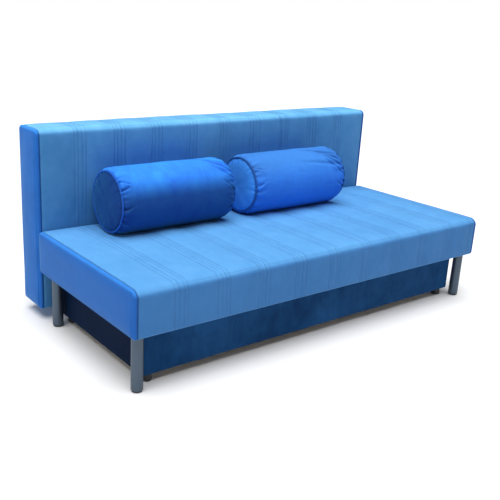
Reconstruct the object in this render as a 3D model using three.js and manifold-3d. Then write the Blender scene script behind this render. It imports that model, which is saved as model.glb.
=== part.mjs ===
// Roll-out sofa bed: a low storage box that stands still, a seat slab on four tall legs that slides
// forward over it, and a back slab on two swing arms that comes down flat on the box behind the seat.
// Millimetres, +Z up, +Y to the rear. The origin is on the floor, at the middle of the whole sofa.
import * as THREE from 'three';
import * as BufferGeometryUtils from 'three/addons/utils/BufferGeometryUtils.js';
import Module from 'manifold-3d';

const wasm = await Module();
wasm.setup();

// ---- driving dimensions -------------------------------------------------------------------------
const LENGTH = 1900;
const DEPTH = 964;
const GAP = 0.3;              // clearance between pieces that touch
const COVER = 3;              // thickness of the upholstery cover

const BACK_THICK = 177;
const BACK_BOTTOM = 48;
const BACK_HEIGHT = 771;
const BACK_FRONT = DEPTH / 2 - BACK_THICK;

const SEAT_DEPTH = 784;
const SEAT_TOP = 401;
const SEAT_BOTTOM = 220;
const SEAT_FRONT = -DEPTH / 2;
const SEAT_REAR = SEAT_FRONT + SEAT_DEPTH;
const SLAB_ROUND = 26;        // radius of the slabs' long soft edges

const BOX_HALF = 881;
const BOX_FRONT = SEAT_FRONT + 69;
const BOX_REAR = BOX_FRONT + 673;
const BOX_BOTTOM = 36;
const BOX_TOP = 213;
const BOARD = 18;

const LEG_X = 915;
const LEG_RADIUS = 22.5;
const LEG_FRONT_Y = SEAT_FRONT + 48;
const LEG_REAR_Y = SEAT_REAR - 81;

const ARM_X = 852;            // middle plane of each swing arm
const ARM_THICK = 6;
const ARM_HALF_WIDTH = 17;
const ARM_PIVOT = [61.5, 81]; // y, z of the fixed pin in the box
const BACK_PIN_FRONT = 130;   // the back's own pin, measured from the back's front face
const BACK_PIN_UP = 35;       // and from its bottom edge
const BACK_PIN = [BACK_FRONT + BACK_PIN_FRONT, BACK_BOTTOM + BACK_PIN_UP];
const PIN_RADIUS = 6;
const SLIT_HALF = 8;          // half width of the slits in the back that the arms work in
const SLIT_HEIGHT = 60;
const NOTCH_HEIGHT = 158;

const BOLSTER_RADIUS = 138;
const BOLSTER_LENGTH = 588;
const BOLSTER_Y = 148;
const BOLSTER_LEFT_X = -729;
const BOLSTER_RIGHT_X = -42;

const SIDES = { left: -1, right: 1 };

// ---- materials ----------------------------------------------------------------------------------
function material(colour, roughness, metalness) {
  return new THREE.MeshStandardMaterial({ color: colour, roughness, metalness });
}
const paleVelour = material('#5b9fe0', 0.8, 0);
const royalVelour = material('#1f5ccc', 0.7, 0);
const navyVelour = material('#1b3c6e', 0.85, 0);
const timber = material('#c9a878', 0.75, 0);
const plywood = material('#d8bd92', 0.7, 0);
const foamRubber = material('#e9e2c8', 0.95, 0);
const lining = material('#22252b', 0.95, 0);
const satinSteel = material('#8d9096', 0.38, 1);
const zincSteel = material('#b5b9bf', 0.35, 1);
const blackPlastic = material('#2a2c30', 0.6, 0);
const greyFelt = material('#6c6e72', 0.95, 0);

// ---- shape helpers ------------------------------------------------------------------------------
function solidOf(geometry) {
  const bare = geometry.clone();
  bare.deleteAttribute('normal');
  bare.deleteAttribute('uv');
  const merged = BufferGeometryUtils.mergeVertices(bare, 1e-4);
  return new wasm.Manifold(new wasm.Mesh({
    numProp: 3,
    vertProperties: new Float32Array(merged.attributes.position.array),
    triVerts: new Uint32Array(merged.index.array),
  }));
}

function geometryOf(solid) {
  const mesh = solid.getMesh();
  const geometry = new THREE.BufferGeometry();
  geometry.setAttribute('position', new THREE.BufferAttribute(new Float32Array(mesh.vertProperties), 3));
  geometry.setIndex(new THREE.BufferAttribute(new Uint32Array(mesh.triVerts), 1));
  geometry.computeVertexNormals();
  return geometry;
}

// A block between two opposite corners.
function block(x0, x1, y0, y1, z0, z1) {
  const geometry = new THREE.BoxGeometry(x1 - x0, y1 - y0, z1 - z0);
  geometry.translate((x0 + x1) / 2, (y0 + y1) / 2, (z0 + z1) / 2);
  return geometry;
}

// A round bar along X from x0 to x1, about the line at y, z.
function barAlongX(radius, x0, x1, y, z, sides = 32) {
  const geometry = new THREE.CylinderGeometry(radius, radius, x1 - x0, sides);
  geometry.rotateZ(Math.PI / 2);
  geometry.translate((x0 + x1) / 2, y, z);
  return geometry;
}

// A solid of revolution about a vertical axis, from a list of [radius, height] points.
function turned(profile, sides = 32) {
  const points = profile.map(([radius, height]) => new THREE.Vector2(radius, height));
  const geometry = new THREE.LatheGeometry(points, sides);
  geometry.rotateX(Math.PI / 2);
  return geometry;
}

// A soft slab along X. Its section in y, z has the four long edges rounded with the given radii.
function softSlab(halfLength, y0, y1, z0, z1, round) {
  const section = new THREE.Shape();
  section.moveTo(y0, z0 + round.frontLow);
  section.lineTo(y0, z1 - round.frontHigh);
  section.absarc(y0 + round.frontHigh, z1 - round.frontHigh, round.frontHigh, Math.PI, Math.PI / 2, true);
  section.lineTo(y1 - round.rearHigh, z1);
  section.absarc(y1 - round.rearHigh, z1 - round.rearHigh, round.rearHigh, Math.PI / 2, 0, true);
  section.lineTo(y1, z0 + round.rearLow);
  section.absarc(y1 - round.rearLow, z0 + round.rearLow, round.rearLow, 0, -Math.PI / 2, true);
  section.lineTo(y0 + round.frontLow, z0);
  section.absarc(y0 + round.frontLow, z0 + round.frontLow, round.frontLow, -Math.PI / 2, -Math.PI, true);
  const geometry = new THREE.ExtrudeGeometry(section, {
    depth: 2 * halfLength, bevelEnabled: false, curveSegments: 6,
  });
  // The section's own x, y become the slab's y, z, and the extrusion runs along X.
  geometry.applyMatrix4(new THREE.Matrix4().set(0, 0, 1, -halfLength, 1, 0, 0, 0, 0, 1, 0, 0, 0, 0, 0, 1));
  return geometry;
}

function cut(geometry, tools) {
  let solid = solidOf(geometry);
  for (const tool of tools) solid = solid.subtract(solidOf(tool));
  return geometryOf(solid);
}

function join(pieces) {
  let solid = solidOf(pieces[0]);
  for (const piece of pieces.slice(1)) solid = solid.add(solidOf(piece));
  return geometryOf(solid);
}

const sofa = new THREE.Group();

function addPiece(group, name, geometry, pieceMaterial, position = [0, 0, 0]) {
  const mesh = new THREE.Mesh(geometry, pieceMaterial);
  mesh.name = name;
  mesh.position.set(...position);
  group.add(mesh);
  return mesh;
}

// ---- storage box: stands still on the floor -----------------------------------------------------
function addStorageBox(group) {
  const front = [BOX_FRONT, BOX_FRONT + BOARD];
  const rear = [BOX_REAR - BOARD, BOX_REAR];
  const sideInner = BOX_HALF - BOARD;
  addPiece(group, 'box_front_panel', block(-BOX_HALF, BOX_HALF, ...front, BOX_BOTTOM, BOX_TOP), navyVelour);
  for (const [side, sign] of Object.entries(SIDES)) {
    const edges = [sign * sideInner, sign * BOX_HALF].sort((a, b) => a - b);
    addPiece(group, `box_${side}_panel`,
      block(...edges, front[1] + GAP, rear[0] - GAP, BOX_BOTTOM, BOX_TOP), navyVelour);
  }

  // The rear panel has two slots, open at the top, that the swing arms pass through.
  const slots = [-1, 1].map((sign) => block(
    sign * ARM_X - SLIT_HALF, sign * ARM_X + SLIT_HALF,
    rear[0] - 1, rear[1] + 1, ARM_PIVOT[1] - ARM_HALF_WIDTH - 5, BOX_TOP + 1));
  addPiece(group, 'box_rear_panel',
    cut(block(-BOX_HALF, BOX_HALF, ...rear, BOX_BOTTOM, BOX_TOP), slots), navyVelour);

  const floorTop = BOX_BOTTOM + 8;
  const dividerHalf = BOARD / 2;
  const insideFront = front[1] + GAP;
  const insideRear = rear[0] - GAP;
  addPiece(group, 'box_divider',
    block(-dividerHalf, dividerHalf, insideFront, insideRear, BOX_BOTTOM, BOX_TOP - 6), plywood);
  for (const [side, sign] of Object.entries(SIDES)) {
    const edges = [sign * (dividerHalf + GAP), sign * (sideInner - GAP)].sort((a, b) => a - b);
    addPiece(group, `box_floor_${side}`, block(...edges, insideFront, insideRear, BOX_BOTTOM, floorTop), plywood);
  }

  const footTop = BOX_BOTTOM - GAP;
  const foot = [[0, 0], [17, 0], [20, 3], [20, footTop], [0, footTop]];
  for (const [side, sign] of Object.entries(SIDES)) {
    const footX = sign * (BOX_HALF - 37.5);
    addPiece(group, `box_foot_front_${side}`, turned(foot, 28), blackPlastic, [footX, BOX_FRONT + 32, 0]);
    addPiece(group, `box_foot_rear_${side}`, turned(foot, 28), blackPlastic, [footX, BOX_REAR - 32, 0]);
  }

  // Felt strips on the box's top edges, where the folded back comes to rest.
  for (const [side, sign] of Object.entries(SIDES)) {
    const middle = sign * (BOX_HALF - BOARD / 2);
    addPiece(group, `rest_pad_${side}`,
      block(middle - 7, middle + 7, BOX_FRONT + 120, BOX_REAR - 40, BOX_TOP + GAP, BOX_TOP + 4), greyFelt);
  }
  addArmPivots(group, sideInner);
}

// A steel plate on each side panel, with the pin that the swing arm turns on.
function addArmPivots(group, sideInner) {
  const [pivotY, pivotZ] = ARM_PIVOT;
  for (const [side, sign] of Object.entries(SIDES)) {
    const plateOuter = sideInner - GAP;
    const plateInner = plateOuter - 4;
    const plate = [sign * plateInner, sign * plateOuter].sort((a, b) => a - b);
    addPiece(group, `pivot_plate_${side}`,
      block(...plate, pivotY - 45, pivotY + 45, pivotZ - 32, pivotZ + 32), zincSteel);
    // Head on the inside of the arm, shank through it up to the plate.
    const headEnd = ARM_X - ARM_THICK / 2 - GAP;
    const pin = turned([
      [0, headEnd - 6], [9, headEnd - 6], [11, headEnd - 4], [11, headEnd],
      [PIN_RADIUS, headEnd], [PIN_RADIUS, plateInner - GAP], [0, plateInner - GAP],
    ], 32);
    pin.rotateY(sign * Math.PI / 2);
    addPiece(group, `pivot_pin_${side}`, pin, zincSteel, [0, pivotY, pivotZ]);
  }
}

// ---- seat slab on its four legs -----------------------------------------------------------------
function addSeat(group) {
  const half = LENGTH / 2;
  const round = { frontLow: 6, frontHigh: SLAB_ROUND, rearHigh: 14, rearLow: 6 };
  const innerRound = { frontLow: 3, frontHigh: SLAB_ROUND - COVER, rearHigh: 11, rearLow: 3 };
  const hem = 25;
  const cavity = softSlab(half - COVER, SEAT_FRONT + COVER, SEAT_REAR - COVER,
    SEAT_BOTTOM + COVER, SEAT_TOP - COVER, innerRound);
  const mouth = block(-half + hem, half - hem, SEAT_FRONT + hem, SEAT_REAR - hem,
    SEAT_BOTTOM - 1, SEAT_BOTTOM + COVER + 1);
  addPiece(group, 'seat_cover',
    cut(softSlab(half, SEAT_FRONT, SEAT_REAR, SEAT_BOTTOM, SEAT_TOP, round), [cavity, mouth]), paleVelour);
  addPiece(group, 'seat_dust_cover',
    block(-half + hem + GAP, half - hem - GAP, SEAT_FRONT + hem + GAP, SEAT_REAR - hem - GAP,
      SEAT_BOTTOM + 0.5, SEAT_BOTTOM + COVER - 0.2), lining);

  // Timber frame with a centre rail, a plywood deck and the foam block on it.
  const inset = COVER + 3;
  const x1 = half - inset;
  const y0 = SEAT_FRONT + inset;
  const y1 = SEAT_REAR - inset;
  const railBottom = SEAT_BOTTOM + COVER + GAP;
  const railTop = railBottom + 58;
  const railWidth = 32;
  const deckTop = railTop + GAP + 10;
  addPiece(group, 'seat_front_rail', block(-x1, x1, y0, y0 + railWidth, railBottom, railTop), timber);
  addPiece(group, 'seat_rear_rail', block(-x1, x1, y1 - railWidth, y1, railBottom, railTop), timber);
  const between = [y0 + railWidth + GAP, y1 - railWidth - GAP];
  for (const [side, sign] of Object.entries(SIDES)) {
    const outer = [sign * (x1 - railWidth), sign * x1].sort((a, b) => a - b);
    addPiece(group, `seat_${side}_rail`, block(...outer, ...between, railBottom, railTop), timber);
  }
  addPiece(group, 'seat_centre_rail',
    block(-railWidth / 2, railWidth / 2, ...between, railBottom, railTop), timber);
  addPiece(group, 'seat_deck', block(-x1, x1, y0, y1, railTop + GAP, deckTop), plywood);
  addPiece(group, 'seat_foam',
    softSlab(half - COVER - GAP, SEAT_FRONT + COVER + GAP, SEAT_REAR - COVER - GAP,
      deckTop + GAP, SEAT_TOP - COVER - GAP,
      { frontLow: 2, frontHigh: SLAB_ROUND - COVER, rearHigh: 11, rearLow: 2 }), foamRubber);
  addSeatLegs(group);
}

// Steel tube legs, each with a round top plate and a glide that lets the seat slide on the floor.
function addSeatLegs(group) {
  const glideTop = 6;
  const plateBottom = SEAT_BOTTOM - GAP - 4;
  const glide = [[0, 0], [17, 0], [20, 3], [20, glideTop], [0, glideTop]];
  const tube = [[0, glideTop + GAP], [LEG_RADIUS - 1, glideTop + GAP], [LEG_RADIUS, glideTop + GAP + 1],
    [LEG_RADIUS, plateBottom - GAP], [0, plateBottom - GAP]];
  const plate = [[0, plateBottom], [30, plateBottom], [30, SEAT_BOTTOM - GAP], [0, SEAT_BOTTOM - GAP]];
  for (const [end, y] of Object.entries({ front: LEG_FRONT_Y, rear: LEG_REAR_Y })) {
    for (const [side, sign] of Object.entries(SIDES)) {
      const place = [sign * LEG_X, y, 0];
      addPiece(group, `leg_tube_${end}_${side}`, turned(tube, 40), satinSteel, place);
      addPiece(group, `leg_plate_${end}_${side}`, turned(plate, 32), satinSteel, place);
      addPiece(group, `leg_glide_${end}_${side}`, turned(glide, 28), blackPlastic, place);
    }
  }
  // Guide shoes run along the outside of the box and keep the seat straight on its way.
  for (const [side, sign] of Object.entries(SIDES)) {
    const edges = [sign * (BOX_HALF + 2), sign * (BOX_HALF + 10)].sort((a, b) => a - b);
    const shoeFront = LEG_REAR_Y + 31;
    addPiece(group, `guide_shoe_${side}`,
      block(...edges, shoeFront, SEAT_REAR - 6, SEAT_BOTTOM - 36, SEAT_BOTTOM - GAP), blackPlastic);
  }
}

// ---- back slab ----------------------------------------------------------------------------------
// The slits that the swing arms work in: through the slab low down, and up its rear face as a notch.
function armSlits(halfWidth) {
  const tools = [];
  for (const sign of [-1, 1]) {
    const x = sign * ARM_X;
    tools.push(block(x - halfWidth, x + halfWidth, BACK_FRONT - 1, DEPTH / 2 + 1,
      BACK_BOTTOM - 1, BACK_BOTTOM + SLIT_HEIGHT));
    tools.push(block(x - halfWidth, x + halfWidth, BACK_FRONT + 112, DEPTH / 2 + 1,
      BACK_BOTTOM - 1, BACK_BOTTOM + NOTCH_HEIGHT));
  }
  return tools;
}

function addBack(group) {
  const half = LENGTH / 2;
  const rearFace = DEPTH / 2;
  const top = BACK_BOTTOM + BACK_HEIGHT;
  const round = { frontLow: 10, frontHigh: SLAB_ROUND, rearHigh: 20, rearLow: 10 };
  const innerRound = { frontLow: 7, frontHigh: SLAB_ROUND - COVER, rearHigh: 17, rearLow: 7 };
  const cavity = softSlab(half - COVER, BACK_FRONT + COVER, rearFace - COVER,
    BACK_BOTTOM + COVER, top - COVER, innerRound);
  addPiece(group, 'back_cover',
    cut(softSlab(half, BACK_FRONT, rearFace, BACK_BOTTOM, top, round),
      [cavity, ...armSlits(SLIT_HALF)]), paleVelour);

  // Timber frame at the rear of the slab, a board behind it and foam in front.
  const x1 = half - COVER - 3;
  const low = BACK_BOTTOM + COVER + 8;
  const high = top - COVER - 16;
  const railFront = BACK_FRONT + 131;
  const railRear = railFront + 38;
  const railWidth = 44;
  const hingeInner = ARM_X - 11 - GAP;
  addPiece(group, 'back_top_rail', block(-x1, x1, railFront, railRear, high - railWidth, high), timber);
  addPiece(group, 'back_bottom_rail',
    block(-hingeInner, hingeInner, railFront, railRear, low, low + railWidth), timber);
  for (const [side, sign] of Object.entries(SIDES)) {
    const edges = [sign * (x1 - railWidth), sign * x1].sort((a, b) => a - b);
    addPiece(group, `back_${side}_rail`,
      block(...edges, railFront, railRear, low, high - railWidth - GAP), timber);
  }
  addPiece(group, 'back_centre_rail',
    block(-railWidth / 2, railWidth / 2, railFront, railRear, low + railWidth + GAP, high - railWidth - GAP),
    timber);
  addPiece(group, 'back_board',
    cut(block(-x1, x1, railRear + GAP, railRear + GAP + 3.5, low, high), armSlits(SLIT_HALF + 1)), plywood);
  const hingePockets = [-1, 1].map((sign) => block(
    sign * ARM_X - 18, sign * ARM_X + 18, BACK_FRONT + 78, BACK_FRONT + 140,
    BACK_BOTTOM - 1, BACK_BOTTOM + 76));
  addPiece(group, 'back_foam',
    cut(softSlab(half - COVER - GAP, BACK_FRONT + COVER + GAP, railFront - GAP,
      BACK_BOTTOM + COVER + GAP, top - COVER - GAP,
      { frontLow: 7, frontHigh: SLAB_ROUND - COVER, rearHigh: 2, rearLow: 2 }),
    [...hingePockets, ...armSlits(SLIT_HALF + 1)]), foamRubber);
  addBackHinges(group);
}

// A two-eared steel bracket at each end of the bottom rail, and the pin through it and the arm.
function addBackHinges(group) {
  const [pinY, pinZ] = BACK_PIN;
  const earInner = [ARM_X - 11, ARM_X - 8];
  const earOuter = [ARM_X + 8, ARM_X + 11];
  const front = BACK_FRONT + 84;
  const rear = BACK_FRONT + 150;
  const low = BACK_BOTTOM + 14;
  const high = BACK_BOTTOM + 70;
  for (const [side, sign] of Object.entries(SIDES)) {
    const across = ([from, to]) => [sign * from, sign * to].sort((a, b) => a - b);
    const bracket = join([
      block(...across(earInner), front, rear, low, high),
      block(...across(earOuter), front, rear, low, high),
      block(...across([ARM_X - 11, ARM_X + 11]), front, front + 24, high - 6, high),
    ]);
    const hole = barAlongX(PIN_RADIUS + GAP, sign * ARM_X - 20, sign * ARM_X + 20, pinY, pinZ);
    addPiece(group, `hinge_bracket_${side}`, cut(bracket, [hole]), zincSteel);
    const headStart = ARM_X + 11 + GAP;
    const pin = turned([
      [0, ARM_X - 11], [PIN_RADIUS, ARM_X - 11], [PIN_RADIUS, headStart],
      [10, headStart], [10, headStart + 3], [8, headStart + 5], [0, headStart + 5],
    ], 32);
    pin.rotateY(sign * Math.PI / 2);
    addPiece(group, `hinge_pin_${side}`, pin, zincSteel, [0, pinY, pinZ]);
  }
}

// ---- swing arms: flat steel bars from the box pins to the back's pins ---------------------------
function addSwingArms(group) {
  const run = [BACK_PIN[0] - ARM_PIVOT[0], BACK_PIN[1] - ARM_PIVOT[1]];
  const length = Math.hypot(...run);
  const outline = new THREE.Shape();
  outline.absarc(0, 0, ARM_HALF_WIDTH, Math.PI / 2, 1.5 * Math.PI, false);
  outline.absarc(length, 0, ARM_HALF_WIDTH, -Math.PI / 2, Math.PI / 2, false);
  for (const along of [0, length]) {
    const hole = new THREE.Path();
    hole.absarc(along, 0, PIN_RADIUS + GAP, 0, 2 * Math.PI, true);
    outline.holes.push(hole);
  }
  const bar = new THREE.ExtrudeGeometry(outline, { depth: ARM_THICK, bevelEnabled: false, curveSegments: 24 });
  // The outline's own x, y become y, z, and the thickness runs along X.
  bar.applyMatrix4(new THREE.Matrix4().set(0, 0, 1, -ARM_THICK / 2, 1, 0, 0, 0, 0, 1, 0, 0, 0, 0, 0, 1));
  bar.rotateX(Math.atan2(run[1], run[0]));
  for (const [side, sign] of Object.entries(SIDES)) {
    addPiece(group, `swing_arm_${side}`, bar, zincSteel, [sign * ARM_X, ...ARM_PIVOT]);
  }
}

// ---- bolsters -----------------------------------------------------------------------------------
// Each is a foam core in a round cover, closed at its right end by a separate zipped panel.
function addBolster(group, side, startX) {
  const radius = BOLSTER_RADIUS;
  const inner = radius - COVER;
  const length = BOLSTER_LENGTH;
  const soft = 12;
  const endThick = 6;
  const place = [startX, BOLSTER_Y, SEAT_TOP + GAP + radius];
  const cup = turned([
    [0, 0], [radius - soft, 0], [radius - soft * 0.3, soft * 0.3], [radius, soft],
    [radius, length - endThick - GAP], [inner, length - endThick - GAP], [inner, soft + COVER], [0, soft + COVER],
  ], 48);
  const core = turned([
    [0, soft + COVER + GAP], [inner - GAP, soft + COVER + GAP],
    [inner - GAP, length - endThick - GAP], [0, length - endThick - GAP],
  ], 48);
  const endPanel = turned([
    [0, length - endThick], [radius, length - endThick], [radius - 2, length - 1], [radius - 4, length], [0, length],
  ], 48);
  for (const geometry of [cup, core, endPanel]) geometry.rotateY(Math.PI / 2);
  addPiece(group, `bolster_cover_${side}`, cup, royalVelour, place);
  addPiece(group, `bolster_core_${side}`, core, foamRubber, place);
  addPiece(group, `bolster_end_panel_${side}`, endPanel, royalVelour, place);
}

addStorageBox(sofa);
addSeat(sofa);
addBack(sofa);
addSwingArms(sofa);
addBolster(sofa, 'left', BOLSTER_LEFT_X);
addBolster(sofa, 'right', BOLSTER_RIGHT_X);

export default sofa;
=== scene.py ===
# %% [markdown]
# # A roll-out sofa bed in blue velour
#
# The CAD frame already holds every solid at its real size: a storage box, a seat slab on four tube legs,
# a back slab on two swing arms and two loose bolsters. This script dresses that frame. Soft pieces get a
# mesh of their own, hard pieces get softened edges, and every surface gets a procedural finish.

# %% Load the frame and keep its box
import math
import bmesh
import bpy
import numpy as np
from mathutils import Matrix, Vector


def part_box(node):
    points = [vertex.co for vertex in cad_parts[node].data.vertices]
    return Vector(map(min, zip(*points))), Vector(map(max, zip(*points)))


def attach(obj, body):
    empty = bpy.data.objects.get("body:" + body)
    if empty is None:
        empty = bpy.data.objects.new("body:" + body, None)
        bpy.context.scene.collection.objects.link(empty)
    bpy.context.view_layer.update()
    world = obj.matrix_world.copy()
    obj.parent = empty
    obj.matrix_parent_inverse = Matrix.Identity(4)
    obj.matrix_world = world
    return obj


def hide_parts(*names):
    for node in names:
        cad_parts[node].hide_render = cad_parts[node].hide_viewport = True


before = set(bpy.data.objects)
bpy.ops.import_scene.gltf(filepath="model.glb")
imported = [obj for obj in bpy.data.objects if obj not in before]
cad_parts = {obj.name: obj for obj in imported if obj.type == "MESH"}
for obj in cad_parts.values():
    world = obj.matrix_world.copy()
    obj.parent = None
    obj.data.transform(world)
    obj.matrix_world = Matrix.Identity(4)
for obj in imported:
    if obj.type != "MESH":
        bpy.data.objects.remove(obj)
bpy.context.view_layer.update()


def put(name, data):
    """A new object with this data, in the scene and at the origin."""
    made = bpy.data.objects.new(name, data)
    bpy.context.scene.collection.objects.link(made)
    return made


def stand_in(piece, slot, body, *nodes):
    """Hides the CAD nodes that a finished piece stands for and hangs the piece on its body. slot is not used.
    """
    if nodes:
        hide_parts(*nodes)
    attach(piece, body)
    return piece


MM = 0.001

# %% [markdown]
# ## Camera
#
# The camera stands in front of the sofa's left end, a little above the back, and looks down across the
# seat. A slight roll and a small shift give the framing. The three angles turn it in its own axes.

# %% Camera
CAMERA_PLACE = Vector((-2.0957, -2.4187, 1.3022))
CAMERA_YAW, CAMERA_PITCH, CAMERA_ROLL = 37.492, -17.607, 2.726
CAMERA_LENS = 52.07
CAMERA_SHIFT = (0.06, -0.018)

lens = bpy.data.cameras.new("camera")
lens.sensor_width = 36.0
lens.lens = CAMERA_LENS
lens.shift_x, lens.shift_y = CAMERA_SHIFT
lens.clip_end = 100.0
camera = put("camera", lens)
turn = (Matrix.Rotation(math.radians(-CAMERA_YAW), 4, "Z")
        @ Matrix.Rotation(math.radians(90 + CAMERA_PITCH), 4, "X")
        @ Matrix.Rotation(math.radians(CAMERA_ROLL), 4, "Z"))
camera.matrix_world = Matrix.Translation(CAMERA_PLACE) @ turn
bpy.context.scene.camera = camera
print("camera at", tuple(CAMERA_PLACE))

# %% [markdown]
# ## Studio
#
# A pale floor and an even white surround, as in a product studio. A broad soft light stands straight over
# the sofa like a bright ceiling, so that everything that faces up is bright and the faces below it stay
# deep in colour. The surround itself gives only a little fill, but the camera sees it as white. A weak
# light from the left opens the end panels.

# %% Floor, surround and lights
FLOOR_SIZE = 80.0
FLOOR_COLOUR = (0.90, 0.90, 0.90, 1)
CEILING_LIGHT, CEILING_SOFTNESS = 4.1, 58.0
SURROUND_FILL = 0.16


def add_floor():
    paint = bpy.data.materials.new("pale_floor")
    paint.use_nodes = True
    shader = paint.node_tree.nodes["Principled BSDF"]
    shader.inputs["Base Color"].default_value = FLOOR_COLOUR
    shader.inputs["Roughness"].default_value = 0.6
    half = FLOOR_SIZE / 2
    sheet = bpy.data.meshes.new("floor")
    sheet.from_pydata([(-half, -half, 0), (half, -half, 0), (half, half, 0), (-half, half, 0)], [],
                      [(0, 1, 2, 3)])
    sheet.materials.append(paint)
    put("floor", sheet)


def white_surround(fill):
    surround = bpy.data.worlds.new("surround")
    surround.use_nodes = True
    nodes, links = surround.node_tree.nodes, surround.node_tree.links
    soft, seen = nodes["Background"], nodes.new("ShaderNodeBackground")
    for background, strength in ((soft, fill), (seen, 1.0)):
        background.inputs["Color"].default_value = (1.0, 1.0, 1.0, 1)
        background.inputs["Strength"].default_value = strength
    which, either = nodes.new("ShaderNodeLightPath"), nodes.new("ShaderNodeMixShader")
    links.new(which.outputs["Is Camera Ray"], either.inputs[0])
    links.new(soft.outputs[0], either.inputs[1])
    links.new(seen.outputs[0], either.inputs[2])
    links.new(either.outputs[0], nodes["World Output"].inputs["Surface"])
    bpy.context.scene.world = surround


def add_light(name, kind, place, target, power, **settings):
    lamp = bpy.data.lights.new(name, kind)
    lamp.energy = power
    for setting, value in settings.items():
        setattr(lamp, setting, value)
    direction = Vector(target) - Vector(place)
    aimed = direction.to_track_quat("-Z", "Y").to_matrix().to_4x4()
    put(name, lamp).matrix_world = Matrix.Translation(place) @ aimed


add_floor()
white_surround(SURROUND_FILL)
bpy.context.scene.view_settings.view_transform = "Standard"
add_light("ceiling", "SUN", (-0.5, -0.5, 5.0), (0.0, 0.0, 0.0), CEILING_LIGHT,
          angle=math.radians(CEILING_SOFTNESS))
add_light("left_fill", "AREA", (-4.2, -0.8, 1.6), (-0.9, -0.1, 0.4), 18, shape="DISK", size=1.6)
print("floor, surround and two lights")

# %% [markdown]
# ## Writing shader maths as Python
#
# A finish is a small program. `Wire` wraps one output socket, so `1 - mask * 0.5` adds the Math nodes
# itself, and `Finish.add` makes any other node: its settings first, then the values or wires of its sockets.

# %% Shader helpers
class Wire:
    """One output socket of a finish. Arithmetic on it adds Math nodes."""

    def __init__(self, finish, socket):
        self.finish = finish
        self.socket = socket

    def maths(self, operation, first, second):
        return self.finish.add("ShaderNodeMath", {"operation": operation}, {0: first, 1: second})

    def __add__(self, other):
        return self.maths("ADD", self, other)

    def __sub__(self, other):
        return self.maths("SUBTRACT", self, other)

    def __rsub__(self, other):
        return self.maths("SUBTRACT", other, self)

    def __mul__(self, other):
        return self.maths("MULTIPLY", self, other)

    def clamped(self):
        return self.finish.add("ShaderNodeClamp", {}, {"Value": self})

    __radd__ = __add__
    __rmul__ = __mul__


class Finish:
    """A material and the nodes that feed its one Principled shader."""

    def __init__(self, name):
        self.material = bpy.data.materials.new(name)
        self.material.use_nodes = True
        self.tree = self.material.node_tree
        self.shader = self.tree.nodes["Principled BSDF"]

    def add(self, kind, settings, sockets, output=0):
        node = self.tree.nodes.new(kind)
        for name, value in settings.items():
            setattr(node, name, value)
        for name, value in sockets.items():
            self.plug(node.inputs[name], value)
        return Wire(self, node.outputs[output])

    def plug(self, socket, value):
        if isinstance(value, Wire):
            self.tree.links.new(value.socket, socket)
        else:
            socket.default_value = value

    def surface(self, **sockets):
        for name, value in sockets.items():
            self.plug(self.shader.inputs[name.replace("_", " ")], value)
        return self.material

    def place(self):
        return self.add("ShaderNodeTexCoord", {}, {}, "Object")

    def attribute(self, name):
        return self.add("ShaderNodeAttribute", {"attribute_name": name}, {}, "Fac")

    def noise(self, scale, detail=2.0, roughness=0.5, stretch=(1, 1, 1), distortion=0.0):
        moved = self.add("ShaderNodeMapping", {}, {"Vector": self.place(), "Scale": stretch})
        return self.add("ShaderNodeTexNoise", {}, {
            "Vector": moved, "Scale": scale, "Detail": detail, "Roughness": roughness,
            "Distortion": distortion})

    def blend(self, amount, first, second, blend_type="MIX"):
        return self.add("ShaderNodeMix", {"data_type": "RGBA", "blend_type": blend_type},
                        {"Factor": amount, 6: first, 7: second}, 2)

    def bump(self, height, strength, distance, below=None):
        sockets = {"Height": height, "Strength": strength, "Distance": distance}
        if below is not None:
            sockets["Normal"] = below
        return self.add("ShaderNodeBump", {}, sockets)

    def painted(self, mix, deep, pale, rough, relief, strength, distance, **more):
        """Two colours mixed by a pattern, and a relief of its own or of the same pattern."""
        return self.surface(Base_Color=self.blend(mix, rgba(deep), rgba(pale)), Roughness=rough,
                            Normal=self.bump(relief, strength, distance), **more)


def rgba(colour):
    return (*colour, 1.0)


print("shader helpers ready")
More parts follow.
